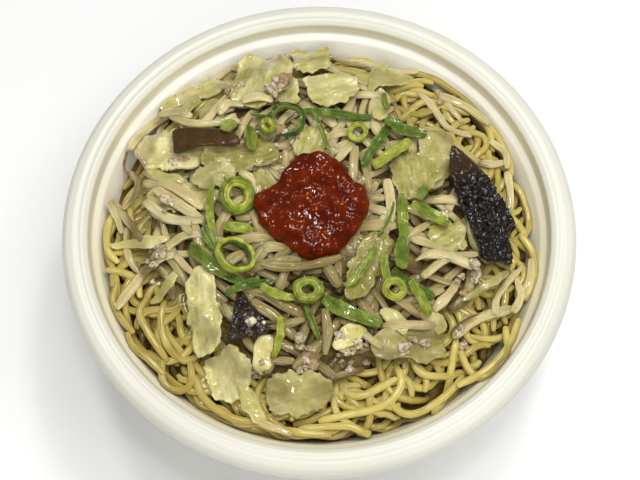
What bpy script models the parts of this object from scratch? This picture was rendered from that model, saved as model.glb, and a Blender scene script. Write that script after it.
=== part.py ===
"""Miso ramen in a round white takeout bowl.

A noodle heap fills the bowl, a lower mound of bean sprouts lies on it, and cabbage, wood ear,
scallion and chili paste are draped over the mound one by one. Each topping rests on a relief of
what was laid before it, so no two pieces cross. Noodles, sprouts and pork crumbs that show are
fused onto the heap that they belong to, wherever they are clear of the other pieces.
"""
import math
import random

import bmesh
import bpy
import numpy as np
from mathutils import Matrix, Vector
from mathutils.bvhtree import BVHTree

MM = 0.001  # the lengths below are in millimetres and the meshes in metres

# Bowl: radii and heights of its half section
RIM_RADIUS = 95.0
BOWL_HEIGHT = 70.0
LIP_DROP = 5.5  # height of the rim's turned-down outer edge
CREST_RADII = (90.3, 87.2)  # the two low rings on top of the rim
MOUTH_RADIUS = 85.2  # inner edge of the rim
SHOULDER = ((84.4, 64.0), (82.2, 62.0))  # narrow step inside, where a lid or tray would sit
WALL_FOOT = (58.5, 10.0)  # where the straight wall bends into the floor
FLOOR_RADIUS = 48.0
FLOOR_HEIGHT = 3.2
WALL = 1.9
FOOT_RADII = (47.0, 37.0)  # flat ring that the bowl stands on
FOOT_RECESS = 1.2
BOWL_STEPS = 44

# Heaps
HEAP_GAP = 0.6  # between a heap's core and the bowl
NOODLE_EDGE = 60.4  # height of the noodles at the wall
NOODLE_CROWN = 4.6  # how much higher they are in the middle
NOODLE_STEPS = 36
MOUND_RADIUS = 70.0
MOUND_THICKNESS = 8.0
MOUND_STEPS = 30
MOUND_DIPS = ((42, 11, 26), (224, 14, 24), (300, 13, 28))  # bearing, depth, width: noodles show

# What is fused onto the heaps
NOODLE = {"count": 13, "radius": 1.6, "points": 15, "loop": 9.0, "sink": 0.7}
SPROUT = {"count": 17, "radius": 1.8, "points": 6, "length": 32.0, "sink": 0.9}
CRUMB = {"count": 10, "radius": 2.4}

# Relief that the toppings are draped on
FIELD = 84.0  # half the side of its square
CELL = 1.0
SPREAD = 5  # cells by which each height is widened, more than one side of a sheet's triangles
BLUR = 2
REST_GAP = 0.35
SETTLE_STEP = 0.3

# x, y, width, length, turn in degrees, thickness, ruffle
CABBAGE = (
    (-7, -65, 24, 14, 6, 1.2, 1.4),
    (-32, -58, 17, 18, 30, 1.2, 1.6),
    (32, -47, 27, 13, 6, 1.2, 1.6),
    (-50, 8, 28, 11, -4, 1.1, 1.0),
    (-56, 28, 27, 18, -14, 2.4, 1.2),
    (-3, 70, 16, 13, 12, 1.2, 1.8),
    (-13, 53, 11, 15, 10, 1.2, 1.8),
    (43, 24, 15, 27, -16, 2.2, 1.4),
    (47, -8, 14, 13, 20, 1.2, 1.2),
    (17, -20, 12, 30, -28, 1.8, 1.0),
    (-41, -36, 14, 34, 10, 1.2, 1.8),
    (-22, 59, 23, 26, -12, 1.6, 3.2),
    (5, 54, 22, 15, 16, 1.4, 2.2),
    (-30, 24, 30, 14, 6, 1.1, 1.2),
    (-3, 29, 13, 15, -10, 1.4, 1.4),
    (35, 15, 17, 18, 24, 1.1, 1.6),
    (-40, 14, 11, 8, 20, 1.1, 0.8),
    (10, -48, 9, 9, 0, 1.1, 1.2),
)

# Two edges of each piece of wood ear, from end to end
WOOD_EAR = (
    (((-55, 35), (-47, 35), (-39, 35), (-30, 31)), ((-54, 24), (-46, 25), (-38, 26), (-29, 28))),
    (((49, 28), (47, 17), (51, 5), (55, -5), (59, -16)),
     ((50, 28), (57, 23), (63, 18), (66, 12), (69, 6), (74, -2), (69, -5), (70, -10), (70, -16))),
    (((-29, -29), (-30, -34), (-31, -41), (-33, -49)), ((-28, -29), (-24, -34), (-20, -39), (-16, -44))),
)

# Start, end and width of each strip of scallion
SCALLION_STRIPS = (
    ((-36, 32), (-30, 37), 4.2),
    ((-26, 34), (-25, 25), 4.2),
    ((-26, 41), (-18, 40), 3.4),
    ((-7, 43), (20, 42), 3.4),
    ((-3, 42), (4, 24), 1.8),
    ((16, 20), (28, 40), 4.0),
    ((25, 40), (40, 32), 5.5),
    ((20, 19), (34, 29), 5.2),
    ((-39, 10), (-37, -12), 3.2),
    ((-42, -5), (-37, -14), 2.9),
    ((-47, -12), (-28, -27), 5.0),
    ((-33, -32), (-17, -26), 3.4),
    ((-21, -29), (-8, -32), 3.4),
    ((-5, -35), (0, -47), 2.5),
    ((-14, -39), (-16, -53), 2.9),
    ((1, -32), (22, -42), 5.5),
    ((9, -29), (20, -14), 3.2),
    ((30, 7), (30, -11), 4.2),
    ((33, 2), (47, -4), 5.0),
    ((26, -22), (41, -31), 4.2),
    ((23, -17), (24, -28), 3.2),
    ((-35, -5), (-24, -6), 4.4),
    ((25, 54), (26, 43), 2.4),
    ((39, 10), (36, 3), 3.4),
    ((27, 3), (21, -10), 1.6),
    ((30, -11), (29, -23), 5.4),
    ((32, -27), (39, -38), 3.6),
)
STRIP_THICKNESS = 0.8
SHEET_CELL = 4.4  # side of a leaf's squares, before they are split

# x, y, outer diameter and hole diameter of each ring of scallion
SCALLION_RINGS = (
    (-30, 6.5, 14.4, 6.2),
    (-30, -17, 15.0, 10.2),
    (-4, -30, 10.9, 3.6),
    (26.5, -30, 8.8, 3.2),
    (-12, 38.5, 14.0, 9.6),
    (-19.5, 34, 6.5, 2.0),
    (14.5, 34.5, 8.0, 3.6),
)

CHILI = {"at": (-1.5, 2.5), "radius": 19.5, "height": 6.0, "lobes": ((178, 3.0, 22), (80, 2.0, 30))}

# Colour as seen, 0 to 255, and roughness
LOOKS = {
    "bowl": ((243, 242, 228), 0.55),
    "noodles": ((203, 184, 96), 0.35),
    "bean_sprouts": ((207, 188, 146), 0.35),
    "cabbage": ((212, 205, 148), 0.35),
    "wood_ear": ((48, 36, 34), 0.3),
    "scallion": ((72, 135, 44), 0.35),
    "chili_paste": ((120, 26, 12), 0.2),
}


def linear(channel):
    value = channel / 255
    return value / 12.92 if value <= 0.04045 else ((value + 0.055) / 1.055) ** 2.4


def material(look):
    """The Principled BSDF material of one kind of piece, made once."""
    if look in bpy.data.materials:
        return bpy.data.materials[look]
    colour, roughness = LOOKS[look]
    made = bpy.data.materials.new(look)
    made.use_nodes = True
    shader = made.node_tree.nodes["Principled BSDF"]
    shader.inputs["Base Color"].default_value = (*[linear(c) for c in colour], 1.0)
    shader.inputs["Roughness"].default_value = roughness
    shader.inputs["Metallic"].default_value = 0.0
    return made


def add_object(name, mesh, look, parent):
    """An object for a mesh in metres, with its origin moved to the middle of its box."""
    points = np.array([v.co for v in mesh.vertices])
    middle = Vector((points.min(axis=0) + points.max(axis=0)) / 2)
    mesh.transform(Matrix.Translation(-middle))
    mesh.materials.clear()
    mesh.materials.append(material(look))
    piece = bpy.data.objects.new(name, mesh)
    piece.location = middle
    piece.parent = parent
    bpy.context.scene.collection.children["miso_ramen"].objects.link(piece)
    return piece


def mesh_from(name, bm):
    """Mesh in metres from a bmesh in millimetres."""
    bmesh.ops.scale(bm, vec=(MM, MM, MM), verts=bm.verts)
    mesh = bpy.data.meshes.new(name)
    bm.to_mesh(mesh)
    bm.free()
    return mesh


def evaluated_mesh(name, piece):
    """Copy of an object's mesh with its modifiers or bevel applied; the object is removed."""
    graph = bpy.context.evaluated_depsgraph_get()
    mesh = bpy.data.meshes.new_from_object(piece.evaluated_get(graph))
    mesh.name = name
    mesh.transform(piece.matrix_world)
    bpy.data.objects.remove(piece)
    return mesh


def world_tree(piece):
    """Search tree of a piece's surface, in millimetres."""
    corners = [(piece.location + v.co) / MM for v in piece.data.vertices]
    return BVHTree.FromPolygons(corners, [tuple(p.vertices) for p in piece.data.polygons])


class Relief:
    """Height of all that has been laid so far, on a square grid seen from above."""

    def __init__(self):
        self.side = int(2 * FIELD / CELL) + 1
        self.top = np.zeros((self.side, self.side))
        self.rest = self.top

    def stamp(self, piece):
        tree = world_tree(piece)
        corners = np.array([(piece.location + v.co) / MM for v in piece.data.vertices])
        low = np.floor((corners.min(axis=0) + FIELD) / CELL).astype(int)
        high = np.ceil((corners.max(axis=0) + FIELD) / CELL).astype(int)
        for i in range(max(low[0], 0), min(high[0] + 1, self.side)):
            for j in range(max(low[1], 0), min(high[1] + 1, self.side)):
                above = Vector((i * CELL - FIELD, j * CELL - FIELD, 2 * BOWL_HEIGHT))
                hit = tree.ray_cast(above, Vector((0, 0, -1)))[0]
                if hit:
                    self.top[i, j] = max(self.top[i, j], hit.z)
        self.rest = self.blurred(self.widened())

    def shifted(self, grid, reach):
        """The grid moved to every offset within a disc."""
        padded = np.pad(grid, reach, mode="edge")
        for di in range(-reach, reach + 1):
            for dj in range(-reach, reach + 1):
                if di * di + dj * dj <= reach * reach:
                    yield padded[reach + di:reach + di + self.side, reach + dj:reach + dj + self.side]

    def widened(self):
        return np.maximum.reduce(list(self.shifted(self.top, SPREAD)))

    def blurred(self, grid):
        return np.mean(list(self.shifted(grid, BLUR)), axis=0)

    def read(self, grid, x, y):
        column = min(max((x + FIELD) / CELL, 0), self.side - 1.001)
        row = min(max((y + FIELD) / CELL, 0), self.side - 1.001)
        i, j = int(column), int(row)
        a, b = column - i, row - j
        near = grid[i, j] * (1 - a) + grid[i + 1, j] * a
        far = grid[i, j + 1] * (1 - a) + grid[i + 1, j + 1] * a
        return near * (1 - b) + far * b

    def seat(self, x, y):
        """Height at which the underside of a new piece is clear of everything below."""
        return self.read(self.rest, x, y) + REST_GAP

    def surface(self, x, y):
        return self.read(self.top, x, y)


# Bowl

def wall_profile(inset):
    """Inside of the bowl from the floor's centre to the shoulder, moved inwards by the inset."""
    floor = FLOOR_HEIGHT + inset
    start = Vector((FLOOR_RADIUS, floor))
    corner = Vector((FLOOR_RADIUS + 7, floor))
    end = Vector((WALL_FOOT[0] - inset, WALL_FOOT[1] + inset / 2))
    bend = [start * (1 - t) ** 2 + corner * 2 * t * (1 - t) + end * t ** 2 for t in (0, 0.5, 1)]
    return [(0, floor)] + [tuple(p) for p in bend] + [(SHOULDER[1][0] - inset, SHOULDER[1][1])]


def wall_radius(height):
    (low_r, low_z), (high_r, high_z) = WALL_FOOT, SHOULDER[1]
    return low_r + (high_r - low_r) * (height - low_z) / (high_z - low_z)


def turned(name, profile, steps, look, parent):
    """Solid of revolution: the half section runs up the inside and down the outside."""
    bm = bmesh.new()
    corners = [bm.verts.new((r, 0, z)) for r, z in profile]
    for a, b in zip(corners, corners[1:]):
        bm.edges.new((a, b))
    line = bpy.data.objects.new(name + "_section", mesh_from(name, bm))
    bpy.context.scene.collection.objects.link(line)
    screw = line.modifiers.new("Screw", "SCREW")
    screw.steps = screw.render_steps = steps
    screw.use_merge_vertices = True
    screw.merge_threshold = 0.00005
    screw.use_smooth_shade = True
    return add_object(name, evaluated_mesh(name, line), look, parent)


def make_bowl(parent):
    top = BOWL_HEIGHT
    lip = top - LIP_DROP
    inside = wall_profile(0) + [SHOULDER[0], (MOUTH_RADIUS, top - 1.4)]
    rim = [
        (CREST_RADII[1], top),
        (sum(CREST_RADII) / 2, top - 0.4),
        (CREST_RADII[0], top),
        (RIM_RADIUS - 2, top - 0.8),
        (RIM_RADIUS - 0.6, top - 2.4),
        (RIM_RADIUS, lip),
        (RIM_RADIUS - 1.6, lip),
        (RIM_RADIUS - 2.6, top - WALL - 1.4),
        (CREST_RADII[1] + 0.6, top - WALL - 1.2),
        (SHOULDER[0][0] + WALL, SHOULDER[0][1] - 1.2),
        (SHOULDER[1][0] + WALL, SHOULDER[1][1] - 0.8),
    ]
    outside = [
        (WALL_FOOT[0] + WALL, WALL_FOOT[1] - 1.0),
        (FLOOR_RADIUS + 7.5, 2.6),
        (FOOT_RADII[0] + 2, 0.8),
        (FOOT_RADII[0], 0),
        (FOOT_RADII[1], 0),
        (FOOT_RADII[1] - 1.2, FOOT_RECESS),
        (0, FOOT_RECESS),
    ]
    bowl = turned("bowl", inside + rim + outside, BOWL_STEPS, "bowl", parent)
    bowl.data.set_sharp_from_angle(angle=math.radians(40))
    return bowl


# Heap cores

def noodle_height(x, y):
    """Top of the noodle heap's core: a low crown with a few soft hollows."""
    r = math.hypot(x, y) / wall_radius(NOODLE_EDGE)
    swell = 0.5 * math.sin(x / 13 + 1) * math.cos(y / 11) * max(0, 1 - r ** 4)
    return NOODLE_EDGE + NOODLE_CROWN * (1 - r * r) + swell


def make_noodle_core(parent):
    edge = wall_radius(NOODLE_EDGE) - HEAP_GAP
    rings = 5
    crown = [(edge * k / rings, NOODLE_EDGE) for k in range(rings + 1)]
    base = [p for p in reversed(wall_profile(HEAP_GAP)) if p[1] < NOODLE_EDGE]
    core = turned("noodles", crown + base, NOODLE_STEPS, "noodles", parent)
    for v in core.data.vertices:
        x, y, z = (core.location + v.co) / MM
        if abs(z - NOODLE_EDGE) < 0.01:
            v.co.z = noodle_height(x, y) * MM - core.location.z
    return core


def mound_radius(bearing):
    """Outline of the sprout mound, with the dips that let the noodles show."""
    radius = MOUND_RADIUS + 1.5 * math.sin(5 * bearing + 1)
    for at, depth, width in MOUND_DIPS:
        off = (math.degrees(bearing) - at + 180) % 360 - 180
        radius -= depth * math.exp(-(off / width) ** 2)
    return radius


def lens(bm, segments, rings, centre, outline, base, height, fullness):
    """Flat-bottomed dome from a sphere: its lower half is pressed onto the base surface."""
    ball = bmesh.ops.create_uvsphere(bm, u_segments=segments, v_segments=rings, radius=1)
    for v in ball["verts"]:
        reach = min(1, math.hypot(v.co.x, v.co.y))
        bearing = math.atan2(v.co.y, v.co.x)
        x = centre[0] + reach * outline(bearing) * math.cos(bearing)
        y = centre[1] + reach * outline(bearing) * math.sin(bearing)
        rise = max(v.co.z, 0) ** fullness * height(x, y)
        v.co = (x, y, base(x, y) + rise)
    bmesh.ops.recalc_face_normals(bm, faces=bm.faces)


def make_sprout_core(relief, parent):
    bm = bmesh.new()
    bumps = lambda x, y: MOUND_THICKNESS + 0.7 * math.sin(x / 9) * math.sin(y / 8 + 1)
    lens(bm, MOUND_STEPS, 8, (0, 0), mound_radius, relief.seat, bumps, 0.75)
    return add_object("bean_sprouts", mesh_from("bean_sprouts", bm), "bean_sprouts", parent)


# Draped toppings

def sheet(name, cells, shape, thickness, look, relief, parent):
    """Thin wavy solid. shape(u, v) gives a grid point's x, y and its lift off the relief."""
    bm = bmesh.new()
    bmesh.ops.create_grid(bm, x_segments=cells[0], y_segments=cells[1], size=1)
    for v in bm.verts:
        x, y, lift = shape(v.co.x, v.co.y)
        v.co = (x, y, relief.seat(x, y) + lift)
    bmesh.ops.triangulate(bm, faces=bm.faces, quad_method="ALTERNATE")
    bmesh.ops.recalc_face_normals(bm, faces=bm.faces)
    if sum(f.normal.z for f in bm.faces) < 0:
        bmesh.ops.reverse_faces(bm, faces=bm.faces)
    leaf = bpy.data.objects.new(name + "_sheet", mesh_from(name, bm))
    bpy.context.scene.collection.objects.link(leaf)
    solidify = leaf.modifiers.new("Solidify", "SOLIDIFY")
    solidify.thickness = thickness * MM
    solidify.offset = 1
    mesh = evaluated_mesh(name, leaf)
    mesh.shade_smooth()
    mesh.set_sharp_from_angle(angle=math.radians(60))
    piece = add_object(name, mesh, look, parent)
    relief.stamp(piece)
    return piece


def cabbage_shape(x, y, width, length, turn, ruffle, draw):
    """Torn piece of leaf: a rounded, uneven rectangle with folds across it."""
    phase = [draw.uniform(0, 2 * math.pi) for _ in range(4)]
    angle = math.radians(turn)

    def shape(u, v):
        bearing = math.atan2(v, u)
        uneven = 1 + 0.07 * math.sin(3 * bearing + phase[0]) + 0.06 * math.sin(5 * bearing + phase[1])
        across = u * math.sqrt(1 - 0.35 * v * v) * uneven * width / 2
        along = v * math.sqrt(1 - 0.35 * u * u) * uneven * length / 2
        fold = math.sin(across / 3.2 + phase[2]) + 0.6 * math.sin(along / 4.5 + phase[3])
        lift = ruffle * (fold + 1.6) / 3.2
        return (x + across * math.cos(angle) - along * math.sin(angle),
                y + across * math.sin(angle) + along * math.cos(angle), lift)

    return shape


def make_cabbage(relief, parent):
    draw = random.Random(4)
    pieces = []
    for number, (x, y, width, length, turn, thickness, ruffle) in enumerate(CABBAGE, 1):
        shape = cabbage_shape(x, y, width, length, turn, ruffle, draw)
        cells = [max(3, round(side / SHEET_CELL)) for side in (width, length)]
        pieces.append(sheet(f"cabbage_{number:02}", cells, shape, thickness, "cabbage", relief, parent))
    return pieces


def between(points, t):
    """Point at t, 0 to 1, along a run of corners."""
    place = min(max(t, 0), 1) * (len(points) - 1)
    i = min(int(place), len(points) - 2)
    return Vector(points[i]).lerp(Vector(points[i + 1]), place - i)


def wood_ear_shape(edges, draw):
    phase = draw.uniform(0, 2 * math.pi)

    def shape(u, v):
        across = (1 - v) / 2
        point = between(edges[0], (u + 1) / 2).lerp(between(edges[1], (u + 1) / 2), across)
        lift = 0.9 + 0.9 * math.sin(point.x / 3 + phase) * math.cos(point.y / 3.5)
        return point.x, point.y, lift

    return shape


def make_wood_ear(relief, parent):
    draw = random.Random(9)
    return [
        sheet(f"wood_ear_{number}", (8, 4), wood_ear_shape(edges, draw), 1.3, "wood_ear", relief, parent)
        for number, edges in enumerate(WOOD_EAR, 1)
    ]


def make_chili(relief, parent):
    def outline(bearing):
        radius = CHILI["radius"] + 1.2 * math.sin(4 * bearing + 1) + 0.7 * math.sin(7 * bearing)
        for at, reach, width in CHILI["lobes"]:
            off = (math.degrees(bearing) - at + 180) % 360 - 180
            radius += reach * math.exp(-(off / width) ** 2)
        return radius

    bm = bmesh.new()
    lumps = lambda x, y: CHILI["height"] + 1.1 * math.sin(x / 3.4 + 2) * math.sin(y / 3.9)
    lens(bm, 22, 10, CHILI["at"], outline, relief.seat, lumps, 0.55)
    mesh = mesh_from("chili_paste", bm)
    mesh.shade_smooth()
    piece = add_object("chili_paste", mesh, "chili_paste", parent)
    relief.stamp(piece)
    return piece


def strip_shape(start, end, width, draw):
    """Slice of green leaf: a narrow band, bowed sideways and lifted in the middle."""
    start, end = Vector(start), Vector(end)
    along = (end - start).normalized()
    side = Vector((-along.y, along.x))
    bow = draw.uniform(-0.09, 0.09) * (end - start).length
    arch = draw.uniform(0.3, 1.0)

    def shape(u, v):
        half = width / 2 * (1 - 0.25 * u * u)
        point = start.lerp(end, (u + 1) / 2) + side * (bow * (1 - u * u) + half * v)
        return point.x, point.y, arch * (1 - u * u) + 0.35 * v * v

    return shape


def settle(piece, relief, laid):
    """Lower a rigid piece from well above until it touches what was laid, then leave a small gap."""
    corners = [piece.location + v.co for v in piece.data.vertices]
    piece.location.z += max(relief.seat(c.x / MM, c.y / MM) * MM - c.z for c in corners)
    while clear_of(piece, laid):
        piece.location.z -= SETTLE_STEP * MM
    piece.location.z += (SETTLE_STEP + REST_GAP) * MM


def make_ring(number, x, y, outer, hole, relief, laid, parent):
    thick = (outer - hole) / 4
    bpy.ops.mesh.primitive_torus_add(
        major_segments=12, minor_segments=5, major_radius=(outer / 2 - thick) * MM, minor_radius=thick * MM)
    torus = bpy.context.object
    slope = Vector((relief.seat(x + 4, y) - relief.seat(x - 4, y), relief.seat(x, y + 4) - relief.seat(x, y - 4)))
    up = Vector((-slope.x, -slope.y, 8)).normalized()
    flat = Matrix.Diagonal((1, 1, 1.3 / thick, 1))
    torus.data.transform(up.to_track_quat("Z", "Y").to_matrix().to_4x4() @ flat)
    torus.location = (x * MM, y * MM, 0)
    settle(torus, relief, laid)
    bpy.context.view_layer.update()
    mesh = evaluated_mesh(f"scallion_ring_{number}", torus)
    mesh.shade_smooth()
    piece = add_object(f"scallion_ring_{number}", mesh, "scallion", parent)
    relief.stamp(piece)
    laid.append(world_tree(piece))
    return piece


def make_scallion(relief, below, parent):
    """Strips first, then the rings that lie on them."""
    draw = random.Random(12)
    strips = []
    for number, (start, end, width) in enumerate(SCALLION_STRIPS, 1):
        shape = strip_shape(start, end, width, draw)
        name = f"scallion_strip_{number:02}"
        strips.append(sheet(name, (6, 2), shape, STRIP_THICKNESS, "scallion", relief, parent))
    laid = [world_tree(piece) for piece in below + strips]
    rings = [make_ring(n, *ring, relief, laid, parent) for n, ring in enumerate(SCALLION_RINGS, 1)]
    return strips + rings


# Noodles, sprouts and crumbs fused onto the heaps

def strand(points, radii):
    """Round closed tube in millimetres through the points."""
    curve = bpy.data.curves.new("strand", "CURVE")
    curve.dimensions = "3D"
    curve.bevel_depth = MM
    curve.bevel_resolution = 1
    curve.use_fill_caps = True
    spline = curve.splines.new("POLY")
    spline.points.add(len(points) - 1)
    for knot, place, radius in zip(spline.points, points, radii):
        knot.co = (*[c * MM for c in place], 1)
        knot.radius = radius
    tube = bpy.data.objects.new("strand", curve)
    bpy.context.scene.collection.objects.link(tube)
    mesh = evaluated_mesh("strand", tube)
    bm = bmesh.new()
    bm.from_mesh(mesh)
    bmesh.ops.remove_doubles(bm, verts=bm.verts, dist=0.00002)
    bmesh.ops.recalc_face_normals(bm, faces=bm.faces)
    bm.to_mesh(mesh)
    bm.free()
    return bpy.data.objects.new("strand", mesh)


def crumb(place, radius, draw):
    bm = bmesh.new()
    ball = bmesh.ops.create_icosphere(bm, subdivisions=1, radius=radius)
    for v in ball["verts"]:
        v.co = Vector(place) + v.co * draw.uniform(0.75, 1.2)
    return bpy.data.objects.new("crumb", mesh_from("crumb", bm))


def clear_of(piece, others):
    tree = world_tree(piece)
    return not any(tree.overlap(other) for other in others)


def fuse(core, pieces):
    """Join the pieces to the core by one Boolean union, and keep its one outer skin."""
    group = bpy.data.collections.new(core.name + "_pieces")
    bpy.context.scene.collection.children.link(group)
    for piece in pieces:
        group.objects.link(piece)
    union = core.modifiers.new("Union", "BOOLEAN")
    union.operation = "UNION"
    union.operand_type = "COLLECTION"
    union.collection = group
    union.solver = "MANIFOLD"
    bpy.context.view_layer.update()
    name, look, parent = core.name, core.data.materials[0].name, core.parent
    mesh = evaluated_mesh(name, core)
    for piece in pieces:
        bpy.data.objects.remove(piece)
    bpy.data.collections.remove(group)
    keep_outer_skin(mesh)
    return add_object(name, mesh, look, parent)


def keep_outer_skin(mesh):
    """Fill sealed hollows and drop loose scraps: only the largest connected skin stays."""
    bm = bmesh.new()
    bm.from_mesh(mesh)
    bmesh.ops.triangulate(bm, faces=bm.faces)
    left = set(bm.verts)
    skins = []
    while left:
        skin, front = set(), [left.pop()]
        while front:
            vert = front.pop()
            skin.add(vert)
            fresh = [e.other_vert(vert) for e in vert.link_edges if e.other_vert(vert) in left]
            left.difference_update(fresh)
            front.extend(fresh)
        skins.append(skin)
    largest = max(skins, key=len)
    bmesh.ops.delete(bm, geom=[v for v in bm.verts if v not in largest], context="VERTS")
    bm.to_mesh(mesh)
    bm.free()


def noodle_path(turn, loop, draw):
    """Curly run round the bowl: small loops carried along a wide circle."""
    count = NOODLE["points"]
    ring = wall_radius(NOODLE_EDGE) - NOODLE["radius"] - 1.2 - loop
    curl = draw.choice((-1, 1)) * draw.uniform(6, 9)
    phase = draw.uniform(0, 2 * math.pi)
    sweep = math.radians(draw.uniform(36, 46))
    for k in range(count):
        t = k / (count - 1)
        bearing = turn + sweep * t
        spin = phase + curl * sweep * t
        yield (ring * math.cos(bearing) + loop * math.cos(spin),
               ring * math.sin(bearing) + loop * math.sin(spin), math.sin(spin * 0.5))


def noodles_for(core, others):
    """Noodles spread evenly round the edge of the heap, each moved on until it is clear."""
    draw = random.Random(22)
    placed = []
    for n in range(NOODLE["count"]):
        for attempt in range(60):
            turn = 2 * math.pi * (n + draw.uniform(-0.4, 0.4)) / NOODLE["count"]
            loop = NOODLE["loop"] * (1 - attempt / 70)
            points = [
                (x, y, core.surface(x, y) + NOODLE["radius"] - NOODLE["sink"] + 0.5 * wave)
                for x, y, wave in noodle_path(turn, loop, draw)
            ]
            inside = all(math.hypot(x, y) < wall_radius(z) - NOODLE["radius"] - 0.7 for x, y, z in points)
            piece = strand(points, [NOODLE["radius"]] * len(points))
            if inside and clear_of(piece, others):
                placed.append(piece)
                break
            bpy.data.objects.remove(piece)
    return placed


def sprouts_for(core, others):
    """Sprouts scattered over the mound between the toppings, and pork crumbs among them."""
    draw = random.Random(33)
    placed, centres = [], []
    for attempt in range(900):
        if len(placed) == SPROUT["count"]:
            break
        bearing = draw.uniform(0, 2 * math.pi)
        reach = mound_radius(bearing) * math.sqrt(draw.uniform(0.05, 0.88))
        middle = Vector((reach * math.cos(bearing), reach * math.sin(bearing)))
        if any((middle - c).length < 9 for c in centres):
            continue
        piece = sprout(middle, core, draw)
        if clear_of(piece, others):
            placed.append(piece)
            centres.append(middle)
        else:
            bpy.data.objects.remove(piece)
    return placed + crumbs_for(core, others, centres, draw)


def sprout(middle, core, draw):
    heading = draw.uniform(0, math.pi)
    length = SPROUT["length"] * draw.uniform(0.45, 1.1)
    bow = draw.uniform(-0.16, 0.16) * length
    along = Vector((math.cos(heading), math.sin(heading)))
    side = Vector((-along.y, along.x))
    points, radii = [], []
    for k in range(SPROUT["points"]):
        u = 2 * k / (SPROUT["points"] - 1) - 1
        place = middle + along * (u * length / 2) + side * (bow * (1 - u * u))
        radius = SPROUT["radius"] * (1.05 - 0.3 * (u + 1) / 2)
        points.append((place.x, place.y, core.surface(place.x, place.y) + radius - SPROUT["sink"]))
        radii.append(radius)
    return strand(points, radii)


def crumbs_for(core, others, centres, draw):
    placed = []
    for attempt in range(600):
        if len(placed) == CRUMB["count"]:
            break
        bearing = draw.uniform(0, 2 * math.pi)
        reach = mound_radius(bearing) * math.sqrt(draw.uniform(0.1, 0.9))
        middle = Vector((reach * math.cos(bearing), reach * math.sin(bearing)))
        if any((middle - c).length < 6 for c in centres):
            continue
        size = CRUMB["radius"] * draw.uniform(0.8, 1.2)
        piece = crumb((middle.x, middle.y, core.surface(middle.x, middle.y) + size / 3), size, draw)
        if clear_of(piece, others):
            placed.append(piece)
            centres.append(middle)
        else:
            bpy.data.objects.remove(piece)
    return placed


def main():
    for old in list(bpy.data.objects):
        bpy.data.objects.remove(old)
    parts = bpy.data.collections.new("miso_ramen")
    bpy.context.scene.collection.children.link(parts)
    parent = bpy.data.objects.new("miso_ramen_frame", None)
    parts.objects.link(parent)

    bowl = make_bowl(parent)
    noodles = make_noodle_core(parent)
    noodle_relief = Relief()
    noodle_relief.stamp(noodles)
    sprouts = make_sprout_core(noodle_relief, parent)
    mound_relief = Relief()
    mound_relief.stamp(sprouts)

    relief = Relief()
    relief.stamp(noodles)
    relief.stamp(sprouts)
    toppings = make_cabbage(relief, parent)
    toppings += make_wood_ear(relief, parent)
    toppings += make_scallion(relief, toppings + [noodles, sprouts], parent)
    toppings.append(make_chili(relief, parent))

    trees = [world_tree(piece) for piece in toppings + [bowl]]
    sprouts = fuse(sprouts, sprouts_for(mound_relief, trees + [world_tree(noodles)]))
    fuse(noodles, noodles_for(noodle_relief, trees + [world_tree(sprouts)]))


main()
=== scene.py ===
# Miso ramen in a white takeout bowl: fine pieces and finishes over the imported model
import math
import random

import bmesh
import bpy
import numpy as np
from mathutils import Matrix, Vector, noise
from mathutils.bvhtree import BVHTree


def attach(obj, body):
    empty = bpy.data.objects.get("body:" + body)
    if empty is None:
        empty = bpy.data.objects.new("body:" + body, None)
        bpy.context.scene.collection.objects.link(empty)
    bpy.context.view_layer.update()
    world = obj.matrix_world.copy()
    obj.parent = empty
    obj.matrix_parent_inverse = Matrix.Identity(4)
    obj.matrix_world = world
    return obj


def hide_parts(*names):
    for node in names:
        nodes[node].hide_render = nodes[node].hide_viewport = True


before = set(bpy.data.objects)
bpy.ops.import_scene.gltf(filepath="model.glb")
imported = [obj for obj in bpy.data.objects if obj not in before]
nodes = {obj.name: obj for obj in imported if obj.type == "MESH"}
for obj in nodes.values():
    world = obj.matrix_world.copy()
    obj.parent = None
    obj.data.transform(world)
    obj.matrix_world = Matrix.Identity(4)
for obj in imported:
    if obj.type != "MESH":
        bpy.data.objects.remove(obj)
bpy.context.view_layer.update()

mm = 0.001  # shapes are worked out in millimetres, the scene is in metres
scene = bpy.context.scene
cabbageNames = sorted(n for n in nodes if n.startswith("cabbage"))
woodEarNames = sorted(n for n in nodes if n.startswith("wood_ear"))
stripNames = sorted(n for n in nodes if n.startswith("scallion_strip"))
ringNames = sorted(n for n in nodes if n.startswith("scallion_ring"))


# height maps that everything is laid on

grid = {"reach": 86.0, "cell": 0.5}
gridSide = int(2 * grid["reach"] / grid["cell"]) + 1
gridLine = np.linspace(-grid["reach"], grid["reach"], gridSide)
gridX, gridY = np.meshgrid(gridLine, gridLine, indexing="ij")
nothing = 1e3


def nodePoints(name):
    return np.array([v.co for v in nodes[name].data.vertices]) / mm


def meshTree(mesh):
    corners = [v.co / mm for v in mesh.vertices]
    return BVHTree.FromPolygons(corners, [tuple(p.vertices) for p in mesh.polygons])


def heightsOf(names, fromAbove=True):  # highest top, or lowest underside, of some nodes over the grid
    found = np.full((gridSide, gridSide), -nothing if fromAbove else nothing)
    start, way = (150.0, -1) if fromAbove else (-10.0, 1)
    for name in names:
        tree, points = meshTree(nodes[name].data), nodePoints(name)[:, :2]
        low = np.maximum(0, np.floor((points.min(0) + grid["reach"]) / grid["cell"]).astype(int))
        high = np.minimum(gridSide - 1, np.ceil((points.max(0) + grid["reach"]) / grid["cell"]).astype(int))
        for i in range(low[0], high[0] + 1):
            for j in range(low[1], high[1] + 1):
                hit = tree.ray_cast(Vector((gridLine[i], gridLine[j], start)), Vector((0, 0, way)))[0]
                if hit:
                    found[i, j] = max(found[i, j], hit.z) if fromAbove else min(found[i, j], hit.z)
    return found


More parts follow.
